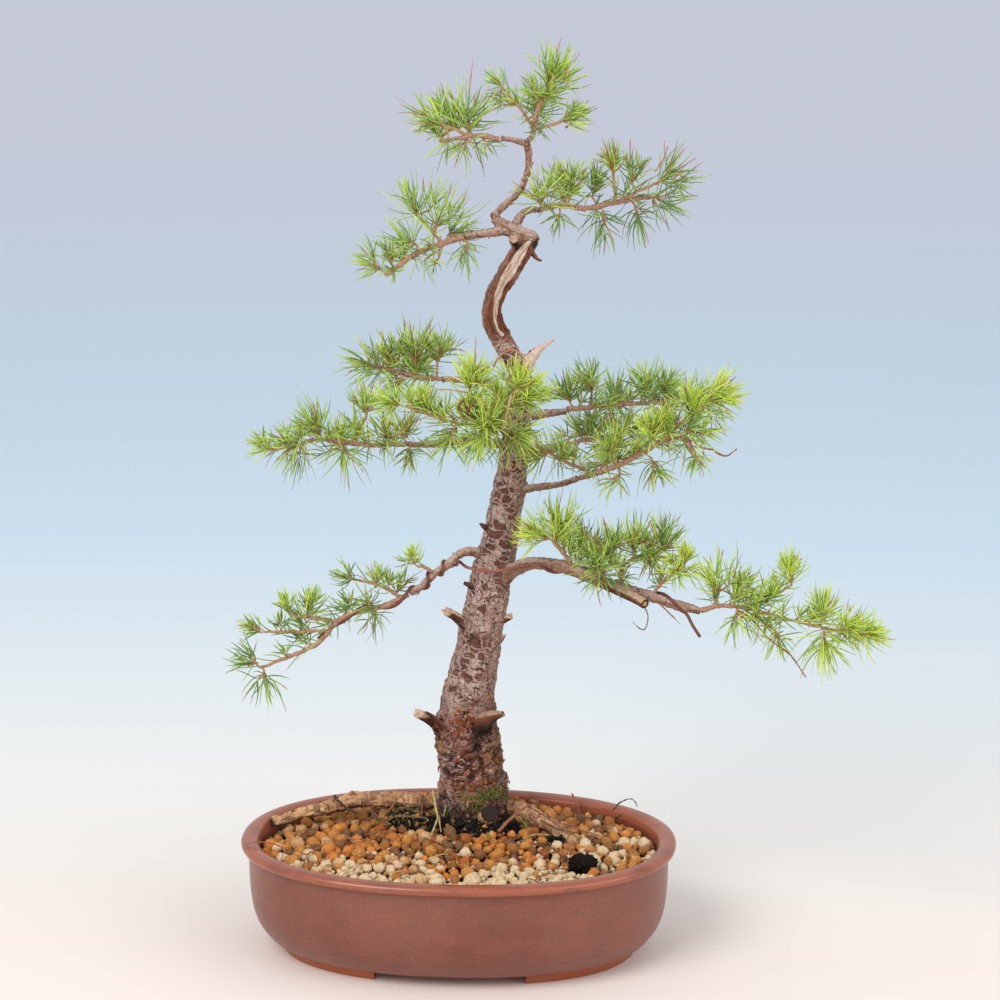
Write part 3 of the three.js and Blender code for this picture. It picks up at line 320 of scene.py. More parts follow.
class NeedleSettings(bpy.types.PropertyGroup):
    width: length("Width", "Widest part of a needle", 0.82)
    per_tuft: number("Per tuft", "Needles in a full tuft", 19)
    per_side_tuft: number("Per side tuft", "Needles in a small tuft", 16)
    spacing: length("Tuft spacing", "Space between small tufts along a stem", 7.5)
    dark: colour("Old needles", "Colour of shaded needles", (104, 138, 76))
    middle: colour("Grown needles", "Colour of grown needles", (174, 204, 94))
    fresh: colour("Fresh needles", "Colour of this season's needles", (218, 234, 96))
    dry: colour("Dry needles", "Colour of withered needles and tips", (198, 126, 80))
    faded: colour("Faded needles", "Darker withered needles", (142, 84, 62))


class PotSettings(bpy.types.PropertyGroup):
    body: colour("Body", "Fired clay of the wall", (122, 66, 50))
    rim: colour("Rim", "Clay of the lip, where it is browner", (156, 86, 60))
    foot: colour("Feet", "Bare clay of the feet", (158, 82, 46))
    haze: colour("Haze", "Pinkish haze over the wall", (136, 80, 64))
    dust: colour("Grain", "Darker grains in the clay", (112, 72, 60))
    speck: colour("Specks", "Tiny pale specks", (226, 208, 198))
    roughness: FloatProperty(
        name="Roughness", description="Roughness of the fired surface", default=0.33, min=0, max=1, subtype="FACTOR"
    )


class SoilSettings(bpy.types.PropertyGroup):
    largest: length("Largest granule", "Width of the largest granules", 9.0)
    smallest: length("Smallest granule", "Width of the smallest granules", 2.7)
    ochre: colour("Ochre", "Baked clay granules", (224, 150, 68))
    orange: colour("Orange", "Brighter baked clay granules", (240, 148, 62))
    cream: colour("Cream", "Pumice granules", (255, 228, 184))
    grey: colour("Grey", "Dark lava granules", (128, 104, 66))
    brown: colour("Brown", "Shaded and weathered granules", (156, 92, 42))
    # Muck also colours the bed under the granules, where it is painted shade in the gaps.
    muck: colour("Muck", "Fine dark soil at the trunk", (17, 14, 11))
    moss: colour("Moss", "Moss at the foot of the trunk", (96, 112, 44))
    litter: colour("Litter", "Reddish rootlets and fallen needles", (158, 92, 74))
    straw: colour("Straw", "Pale dry stalks", (196, 176, 116))


class WireSettings(bpy.types.PropertyGroup):
    width: length("Width", "Diameter of the training wire", 1.7)
    copper: colour("Wire", "Anodised finish of the wire", (104, 62, 52))
    worn: colour("Worn wire", "Paler worn places on the wire", (146, 86, 74))
    plastic: colour("Screens", "Plastic of the drain screens", (34, 35, 36))
    dust: colour("Dust", "Dust on the drain screens", (96, 78, 62))


class StageSettings(bpy.types.PropertyGroup):
    # The floor's four tones are painted light: they stand for the uneven studio light across the floor.
    near: colour("Floor near", "Pale floor before the pot", (236, 226, 218))
    under: colour("Floor under", "Pale floor under the pot", (233, 235, 231))
    middle: colour("Floor middle", "Pale floor behind the pot", (211, 231, 243))
    far: colour("Floor far", "Pale floor far behind", (226, 231, 244))
    sky: colour("Sky", "Soft light from all round", (250, 250, 255))
    glow: strength("Glow", "Strength of the light from all round", 0.75)
    key: strength("Key", "Strength of the lamps", 1.0)


def draws(kind, row=0):
    """The seeded random draws for one kind of piece."""
    return np.random.default_rng(SEEDS[kind] + row)


# Meshes


def to_frame(points):
    """Millimetres from the middle of the pot to metres in the frame."""
    return np.asarray(points, dtype=float) * MM + POT_CENTRE


def new_object(name, data):
    made = bpy.data.objects.new(name, data)
    bpy.context.scene.collection.objects.link(made)
    return made


def mesh_object(name, vertices, faces=(), edges=(), **attributes):
    """An object from places in millimetres, with one value or vector for each vertex in each attribute."""
    mesh = bpy.data.meshes.new(name)
    mesh.from_pydata(to_frame(vertices).tolist(), list(edges), [list(face) for face in faces])
    write_attributes(mesh, attributes)
    mesh.update()
    return new_object(name, mesh)


def write_attributes(mesh, attributes):
    for key, values in attributes.items():
        values = np.asarray(values, dtype=np.float32)
        kind, field = ("FLOAT_VECTOR", "vector") if values.ndim == 2 else ("FLOAT", "value")
        mesh.attributes.new(key, kind, "POINT").data.foreach_set(field, values.ravel())


def read(items, field, width, kind=float):
    """One field of all of a mesh's items, a row for each."""
    flat = np.empty(len(items) * width, dtype=kind)
    items.foreach_get(field, flat)
    return flat.reshape(-1, width)


def places_of(mesh):
    """The places of a mesh's vertices, in millimetres from the middle of the pot."""
    return (read(mesh.vertices, "co", 3) - POT_CENTRE) / MM


def plain(source, name):
    """The evaluated mesh of an object as a new object without modifiers. The source is removed."""
    graph = bpy.context.evaluated_depsgraph_get()
    mesh = bpy.data.meshes.new_from_object(
        source.evaluated_get(graph), preserve_all_data_layers=True, depsgraph=graph
    )
    remove(source)
    mesh.name = name
    return new_object(name, mesh)


def remove(made):
    mesh = made.data
    bpy.data.objects.remove(made)
    bpy.data.meshes.remove(mesh)


def add_modifier(made, kind, **settings):
    modifier = made.modifiers.new(kind, kind)
    for key, value in settings.items():
        setattr(modifier, key, value)


def keep(made, material, slot, *nodes, smooth=True, sharp_above=None):
    """Gives a finished piece its material and shading, and puts it on the body for the solids it replaces."""
    mesh = made.data
    mesh.materials.clear()
    mesh.materials.append(material)
    if smooth:
        mesh.polygons.foreach_set("use_smooth", [True] * len(mesh.polygons))
    if sharp_above:
        mesh.set_sharp_from_angle(angle=math.radians(sharp_above))
    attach(made, BODY)
    if nodes:
        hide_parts(*nodes)


def weld(made, distance):
    """Joins doubled vertices and turns the faces outwards."""
    work = bmesh.new()
    work.from_mesh(made.data)
    bmesh.ops.remove_doubles(work, verts=work.verts, dist=distance)
    bmesh.ops.recalc_face_normals(work, faces=work.faces)
    work.to_mesh(made.data)
    work.free()
    return made


# Routes


def between(xyz, i, t):
    """Places at shares t of the rounded stretch from point i to point i + 1."""
    ends = np.vstack([2 * xyz[0] - xyz[1], xyz, 2 * xyz[-1] - xyz[-2]])
    before, start, end, after = ends[i : i + 4]
    gaps = [max(np.linalg.norm(b - a) ** 0.5, 1e-4) for a, b in ((before, start), (start, end), (end, after))]
    leave = (start - before) / gaps[0] - (end - before) / (gaps[0] + gaps[1]) + (end - start) / gaps[1]
    reach = (end - start) / gaps[1] - (after - start) / (gaps[1] + gaps[2]) + (after - end) / gaps[2]
    leave, reach = leave * gaps[1], reach * gaps[1]
    t = np.atleast_1d(t)[:, None]
    bow = (3 * (end - start) - 2 * leave - reach) * t**2 + (2 * (start - end) + leave + reach) * t**3
    return start + leave * t + bow


def curve_points(points, spacing):
    """Places, radii and shares along a rounded route through [x, y, z, radius] points, about spacing apart."""
    points = np.asarray(points, dtype=float)
    xyz, last = points[:, :3], len(points) - 1
    places, radii, shares = [], [], []
    for i in range(last):
        count = max(2, int(np.linalg.norm(xyz[i + 1] - xyz[i]) / spacing))
        t = np.arange(count) / count
        places.append(between(xyz, i, t))
        radii.append(points[i, 3] + (points[i + 1, 3] - points[i, 3]) * t)
        shares.append((i + t) / last)
    return np.vstack([*places, xyz[-1:]]), np.concatenate([*radii, points[-1:, 3]]), np.concatenate([*shares, [1.0]])


def place_at(points, share):
    """The place and radius at a share of a route, counted along its points."""
    points = np.asarray(points, dtype=float)
    last = len(points) - 1
    i = min(int(share * last), last - 1)
    t = share * last - i
    return between(points[:, :3], i, t)[0], points[i, 3] + (points[i + 1, 3] - points[i, 3]) * t


def unit(vectors):
    vectors = np.asarray(vectors, dtype=float)
    return vectors / np.maximum(np.linalg.norm(vectors, axis=-1, keepdims=True), 1e-9)


def ups_along(ahead):
    """A direction square to each direction ahead, turning as little as it can."""
    up = UP if abs(ahead[0][2]) < 0.9 else FRONT
    ups = []
    for direction in ahead:
        up = unit(up - direction * up.dot(direction))
        ups.append(up)
    return np.array(ups)


def frames_along(places):
    """Directions ahead, across and up at each place of a route."""
    ahead = unit(np.gradient(places, axis=0))
    ups = ups_along(ahead)
    return ahead, np.cross(ahead, ups), ups


def round_of(up, across, angle):
    """The direction at an angle round a route, from up towards across."""
    return up * math.cos(angle) + across * math.sin(angle)


# Skins through rings of places


def ring_angles(sides):
    return np.arange(sides) * FULL_TURN / sides


def between_rings(rings, sides, loop=False):
    """Faces from each ring to the next, and from the last to the first in a loop."""
    starts = [(ring * sides, (ring + 1) % rings * sides) for ring in range(rings if loop else rings - 1)]
    return [(a + i, a + (i + 1) % sides, b + (i + 1) % sides, b + i) for a, b in starts for i in range(sides)]


def flat_ended(rings, loop=False):
    """Vertices and faces of a solid through rings, with a flat face at each end or else closed in a loop."""
    count, sides = len(rings), len(rings[0])
    faces = between_rings(count, sides, loop)
    if not loop:
        faces += [tuple(range(sides))[::-1], tuple(range((count - 1) * sides, count * sides))]
    return np.vstack(rings), faces


def pointed(rings, first, last):
    """Vertices and faces of a solid through rings, closed by a place at each end."""
    count, sides = len(rings), len(rings[0])
    low, high, rear = count * sides, count * sides + 1, (count - 1) * sides
    faces = between_rings(count, sides)
    for i in range(sides):
        j = (i + 1) % sides
        faces += [(low, j, i), (high, rear + i, rear + j)]
    return np.vstack([*rings, [first], [last]]), faces


def tube(points, sides, spacing, relief=None):
    """Vertices and faces of a closed round rod along a route. Angle 0 is up in its frames."""
    places, radii, shares = curve_points(points, spacing)
    _, across, up = frames_along(places)
    angles = ring_angles(sides)
    radius = radii[:, None] * (relief(shares[:, None], angles) if relief else np.ones((1, sides)))
    x, y = (radius * np.sin(angles))[:, :, None], (radius * np.cos(angles))[:, :, None]
    return pointed(places[:, None] + across[:, None] * x + up[:, None] * y, places[0], places[-1])


def gathered(parts):
    """Several lists of vertices and faces as one."""
    vertices, faces, start = [], [], 0
    for part_vertices, part_faces in parts:
        vertices.append(part_vertices)
        faces.extend(tuple(i + start for i in face) for face in part_faces)
        start += len(part_vertices)
    return np.vstack(vertices), faces


class Lines:
    """Lines of places with a radius and a tone at each, drawn one after another."""

    def __init__(self):
        self.places, self.edges, self.radii, self.tones = [], [], [], []

    def draw(self, places, radii, tone=0.0):
        start = len(self.places)
        self.places.extend(places)
        self.radii.extend(radii)
        self.tones.extend([tone] * len(places))
        self.edges.extend((start + i, start + i + 1) for i in range(len(places) - 1))

    def mesh(self, name):
        return mesh_object(name, self.places, edges=self.edges, thick=np.array(self.radii) * MM, tone=self.tones)


# Node trees


class Nodes:
    """Adds nodes to a shader or geometry tree. A value that is a socket is linked, and any other is set."""

    def __init__(self, tree):
        self.tree = tree

    def feed(self, node, inputs):
        for key, value in inputs.items():
            if isinstance(value, bpy.types.NodeSocket):
                self.tree.links.new(value, node.inputs[key])
            else:
                node.inputs[key].default_value = value

    def add(self, kind, inputs=None, **settings):
        """The outputs of a new node."""
        node = self.tree.nodes.new(kind)
        for key, value in settings.items():
            setattr(node, key, value)
        self.feed(node, inputs or {})
        return node.outputs

    def math(self, operation, *values):
        return self.add("ShaderNodeMath", dict(enumerate(values)), operation=operation)[0]

    def plus(self, first, *others):
        for other in others:
            first = self.math("ADD", first, other)
        return first

    def times(self, first, *others):
        for other in others:
            first = self.math("MULTIPLY", first, other)
        return first

    def vector(self, operation, *values):
        return self.add("ShaderNodeVectorMath", dict(enumerate(values)), operation=operation)[0]

    def scaled(self, vector, factor):
        return self.add("ShaderNodeVectorMath", {0: vector, "Scale": factor}, operation="SCALE")[0]

    def split(self, vector):
        return self.add("ShaderNodeSeparateXYZ", {0: vector})

    def span(self, value, low, high, to_low=0.0, to_high=1.0):
        """Maps low..high to to_low..to_high, held at the ends."""
        keys = {"Value": value, "From Min": low, "From Max": high, "To Min": to_low, "To Max": to_high}
        return self.add("ShaderNodeMapRange", keys)[0]

    def mix(self, factor, first, second, blend="MIX"):
        return self.add("ShaderNodeMix", {0: factor, 6: first, 7: second}, data_type="RGBA", blend_type=blend)[2]

    def blend(self, factor, first, second):
        return self.add("ShaderNodeMix", {0: factor, 2: first, 3: second}, data_type="FLOAT")[0]

    def coats(self, skin, *coats):
        """Colours laid on in turn: each colour, the value that shows it, where that starts, ends, and how much."""
        for colour, value, *edge in coats:
            shown = self.span(value, *edge[:2], 0.0, *edge[2:]) if edge else value
            skin = self.mix(shown, skin, colour)
        return skin

    def noise(self, vector, scale, detail=3.0, roughness=0.55):
        keys = {"Vector": vector, "Scale": scale, "Detail": detail, "Roughness": roughness}
        return self.add("ShaderNodeTexNoise", keys)["Fac"]

    def cells(self, vector, scale, output="Distance", **settings):
        return self.add("ShaderNodeTexVoronoi", {"Vector": vector, "Scale": scale}, **settings)[output]

    def stretched(self, vector, factors):
        return self.vector("MULTIPLY", vector, factors)

    def drift(self, vector, scale):
        """A smooth random direction at each place."""
        colour = self.add("ShaderNodeTexNoise", {"Vector": vector, "Scale": scale, "Detail": 2.0})["Color"]
        return self.vector("SUBTRACT", colour, (0.5, 0.5, 0.5))

    def bent(self, vector, scale, amount):
        """The vector shifted by noise, so that straight cell edges wander."""
        return self.vector("ADD", vector, self.scaled(self.drift(vector, scale), amount))


class Shader(Nodes):
    """A new material with one Principled shader."""

    def __init__(self, name):
        self.material = bpy.data.materials.new(name)
        self.material.use_nodes = True
        super().__init__(self.material.node_tree)
        self.surface = next(n for n in self.tree.nodes if n.type == "BSDF_PRINCIPLED")

    def place(self):
        """The place on the piece, in millimetres."""
        return self.scaled(self.add("ShaderNodeTexCoord")["Object"], 1 / MM)

    def normal(self):
        return self.add("ShaderNodeNewGeometry")["Normal"]

    def attribute(self, name, output="Fac"):
        return self.add("ShaderNodeAttribute", attribute_name=name)[output]

    def arrow(self, name):
        """An attribute that is a vector."""
        return self.attribute(name, "Vector")

    def finish(self, colour, roughness, height=None, depth=0.0, gloss=0.5, metallic=0.0):
        keys = {"Base Color": colour, "Roughness": roughness, "Specular IOR Level": gloss, "Metallic": metallic}
        if height is not None:
            keys["Normal"] = self.add("ShaderNodeBump", {"Height": height, "Distance": depth, "Strength": 1.0})[0]
        self.feed(self.surface, keys)
        return self.material


class Geometry(Nodes):
    """A new geometry tree with named sizes and a material as inputs. run() uses it on an object."""

    def __init__(self, name, *sizes):
        super().__init__(bpy.data.node_groups.new(name, "GeometryNodeTree"))
        kinds = {"Geometry": "Geometry", **dict.fromkeys(sizes, "Float"), "Material": "Material"}
        new_socket = self.tree.interface.new_socket
        self.names = {
            key: new_socket(key, in_out="INPUT", socket_type="NodeSocket" + kind).identifier
            for key, kind in kinds.items()
        }
        new_socket("Geometry", in_out="OUTPUT", socket_type="NodeSocketGeometry")
        self.given = self.add("NodeGroupInput")

    def attribute(self, name, kind="FLOAT"):
        return self.add("GeometryNodeInputNamedAttribute", {"Name": name}, data_type=kind)[0]

    def arrow(self, name):
        """An attribute that is a vector."""
        return self.attribute(name, "FLOAT_VECTOR")

    def position(self):
        return self.add("GeometryNodeInputPosition")[0]

    def place(self):
        """The place in millimetres."""
        return self.scaled(self.position(), 1 / MM)

    def normal(self):
        return self.add("GeometryNodeInputNormal")[0]

    def random(self, low, high, seed):
        """A random number between two numbers, or a random vector between two vectors."""
        kind, first, result = ("FLOAT_VECTOR", 0, 0) if isinstance(low, tuple) else ("FLOAT", 2, 1)
        return self.add("FunctionNodeRandomValue", {first: low, first + 1: high, "Seed": seed}, data_type=kind)[result]

    def cone(self, sides, rows, top, height):
        keys = {"Vertices": sides, "Side Segments": rows, "Fill Segments": 1,
                "Radius Top": top, "Radius Bottom": 1.0, "Depth": height}
        return self.add("GeometryNodeMeshCone", keys)[0]

    def towards(self, direction):
        """The turn that brings up to a direction."""
        return self.add("FunctionNodeAlignRotationToVector", {"Vector": direction}, axis="Z")[0]

    def real(self, geometry):
        return self.add("GeometryNodeRealizeInstances", {"Geometry": geometry})[0]

    def spread(self, instance, rotation, scale):
        """The instance on every vertex that was given."""
        points = self.add("GeometryNodeMeshToPoints", {"Mesh": self.given["Geometry"]})[0]
        keys = {"Points": points, "Instance": instance, "Rotation": rotation, "Scale": scale}
        return self.real(self.add("GeometryNodeInstanceOnPoints", keys)[0])

    def swept(self, sides, radius):
        """A round rod along every line that was given."""
        line = self.add("GeometryNodeMeshToCurve", {"Mesh": self.given["Geometry"]})[0]
        circle = self.add("GeometryNodeCurvePrimitiveCircle", {"Resolution": sides, "Radius": 1.0})[0]
        keys = {"Curve": line, "Profile Curve": circle, "Scale": radius, "Fill Caps": True}
        return self.add("GeometryNodeCurveToMesh", keys)[0]

    def move(self, geometry, offset):
        return self.add("GeometryNodeSetPosition", {"Geometry": geometry, "Offset": offset})[0]

    def raised(self, geometry, height):
        """The surface moved outwards by a height."""
        return self.move(geometry, self.scaled(self.normal(), height))

    def crumpled(self, geometry, scale, amount):
        """The surface moved by smooth noise."""
        return self.move(geometry, self.scaled(self.drift(self.place(), scale), amount))

    def end(self, geometry):
        keys = {"Geometry": self.real(geometry), "Material": self.given["Material"]}
        self.tree.links.new(
            self.add("GeometryNodeSetMaterial", keys)[0], self.tree.nodes.new("NodeGroupOutput").inputs[0]
        )
        return self

    def run(self, made, name, material, **sizes):
        """The result of the tree on an object, as a plain mesh under a new name."""
        modifier = made.modifiers.new("shape", "NODES")
        modifier.node_group = self.tree
        for key, value in {"Material": material, **sizes}.items():
            modifier[self.names[key]] = value
        return plain(made, name)


# Wood: trunk, limbs and roots fused into one skin, with bark in relief

ROOTS = ("rootLeft", "rootRight", "rootRear", "rootFront", "rootFrontLeft")
KINDS = ("trunk", "limb", "root")
# Dead wood: the strip up the front, a patch and a strand beside it, and a scar low on the left: x, y, z, half width
DEAD_STRIP = [
    [39,8,392,0.7], [35,7,387,2], [31,6,380,2.6], [27,6,374,2.6], [23.5,6,368,2.2], [21.5,6.5,362,1.7],
    [20.3,7,355,1.2], [20,7.5,349,0.9], [21.3,8,343.5,0.8], [23.5,9,341,1.1],
]
DEAD_PATCH = [[33.5,16.4,331.5,1.8], [36.3,16,327,2.6], [37,14,320,1.8], [36,13,313,1.2]]
DEAD_STRAND = [[29.2,8.6,367.5,0.7], [27.6,10,362,0.8], [26.2,10.5,356,0.8], [24.6,9.7,346,0.7]]
SIDE_SCAR = [[-21,22,80,3.2], [-18,18,92,3.6], [-16,18,101,2.2]]
# Hollows: the middle and the radius of each
HOLLOWS = [
    [13,14,115,6.5], [10,15,108,4], [19,14,269,2.4], [24,13,258,2.2], [8,15,332,3.2], [-2,14,176,4.6],
    [41.5,11,389,2.8], [30.5,7.5,388.5,2], [-107,16.5,61.5,2.8], [30,11,318,2.6], [-15,20,112,4.2], [6,16,199,2.8],
    [17,12,243,2], [12,15,222,2.2], [15,14.5,117,7.5],
]
HOLLOW_SOFT = 1.35
WOOD_TRIM = 0.85
# How far apart the patterns of two routes lie along the bark
PATTERN_SHIFT = 137.0
# How many places are measured at once
BLOCK = 4000


def trunk_relief(t, angle):
    low = np.maximum(0, 1 - t / 0.22)
    flutes = 0.12 * np.sin(3 * angle + 1.2) + 0.05 * np.sin(7 * angle)
    bark = 0.02 * (np.sin(5 * angle + 40 * t) + np.sin(3 * angle - 90 * t))
    return 1 + low * flutes + bark


def near(places, route, flat=1.0):
    """How near each place is to a route, from 1 on it to 0 outside its radius, with depth counted for less."""
    centres, radii, _ = curve_points(route, 1.0)
    gaps = places[:, None] - centres
    gaps[:, :, 1] *= flat
    gaps = np.linalg.norm(gaps, axis=2) / radii
    return np.clip(2.2 - 1.6 * gaps.min(axis=1), 0, 1)


def kind_of(name):
    return "trunk" if name == "trunk" else "root" if name in ROOTS else "limb"


def wood_lines():
    """Samples along every route: kind, place, radius and directions, and how far along in millimetres."""
    found = {key: [] for key in ("kind", "centre", "radius", "ahead", "across", "up", "run")}
    for row, (name, route) in enumerate(WOOD.items()):
        centres, radii, _ = curve_points(route, 1.5)
        steps = np.linalg.norm(np.diff(centres, axis=0), axis=1)
        run = np.concatenate([[0], np.cumsum(steps)]) + PATTERN_SHIFT * row
        kinds = np.full(len(centres), KINDS.index(kind_of(name)))
        for key, values in zip(found, (kinds, centres, radii, *frames_along(centres), run)):
            found[key].append(values)
    return {key: np.concatenate(values) for key, values in found.items()}


def straightened(places):
    """For each place: the kind and radius of the nearest wood, and its place as if that wood ran straight up."""
    lines = wood_lines()
    nearest = []
    for block in np.array_split(places, max(1, len(places) // BLOCK)):
        gaps = np.linalg.norm(block[:, None] - lines["centre"], axis=2) - lines["radius"]
        nearest.append(gaps.argmin(axis=1))
    nearest = np.concatenate(nearest)
    away = places - lines["centre"][nearest]
    x, y, z = ((away * lines[key][nearest]).sum(axis=1) for key in ("across", "up", "ahead"))
    return lines["kind"][nearest], lines["radius"][nearest], np.column_stack([x, y, z + lines["run"][nearest]])


def soften(values, links, rounds):
    """Averages a value over neighbouring vertices."""
    first, second = links
    count = 1 + np.bincount(first, minlength=len(values)) + np.bincount(second, minlength=len(values))
    for _ in range(rounds):
        total = values + np.bincount(first, values[second], len(values))
        total = total + np.bincount(second, values[first], len(values))
        values = total / count
    return values


def thinner(route):
    """A route with the room for its bark taken off."""
    return [[x, y, z, radius - min(WOOD_TRIM, 0.05 * radius + 0.02 * radius**2)] for x, y, z, radius in route]


def wood_skin(settings):
    parts = [tube(thinner(WOOD["trunk"]), 64, 1.2, trunk_relief)]
    parts += [tube(thinner(route), 20, 1.2) for name, route in WOOD.items() if name != "trunk"]
    parts += [tube(thinner(collar), 16, 1.0) for collar in COLLARS]
    made = mesh_object("wood_parts", *gathered(parts))
    add_modifier(made, "REMESH", mode="VOXEL", voxel_size=settings.cell)
    add_modifier(made, "SMOOTH", factor=0.5, iterations=3)
    return plain(made, "wood_skin")


def mark_wood(made):
    """Writes on each vertex how much it is flaky, rusty, limb, root, dead, hollow or damp."""
    mesh = made.data
    places = places_of(mesh)
    kind, size, flow = straightened(places)
    links = read(mesh.edges, "vertices", 2, np.int32).T
    height = places[:, 2]
    limb = soften((kind == KINDS.index("limb")).astype(float), links, 6)
    root = soften((kind == KINDS.index("root")).astype(float), links, 5)
    dead = np.maximum(near(places, DEAD_STRIP, 0.35), near(places, DEAD_STRAND, 0.35))
    dead = np.maximum(dead, np.maximum(near(places, DEAD_PATCH, 0.5), near(places, SIDE_SCAR) * 0.85))
    hollow = np.zeros(len(places))
    for *centre, radius in HOLLOWS:
        gap = np.linalg.norm(places - np.array(centre), axis=1) / radius
        hollow = np.maximum(hollow, np.clip(HOLLOW_SOFT - gap, 0, 1))
    dry_roots = root * np.where(places[:, 0] > 8, 0.55, 1.0)
    write_attributes(mesh, {
        "flow": flow,
        "plated": np.clip((height - 208) / 12, 0, 1) * 0.7 + np.clip((17 - np.abs(height - 160)) / 6, 0, 1),
        "low": np.clip((156 - height) / 46, 0, 1),
        "rusty": np.clip((height - 334) / 8, 0, 1) * (1 - limb),
        "limb": limb,
        "root": root,
        "dead": dead,
        "hollow": hollow,
        "thick": size,
        "damp": np.clip((82 - height) / 16, 0, 1) * (1 - dry_roots),
    })
    return made


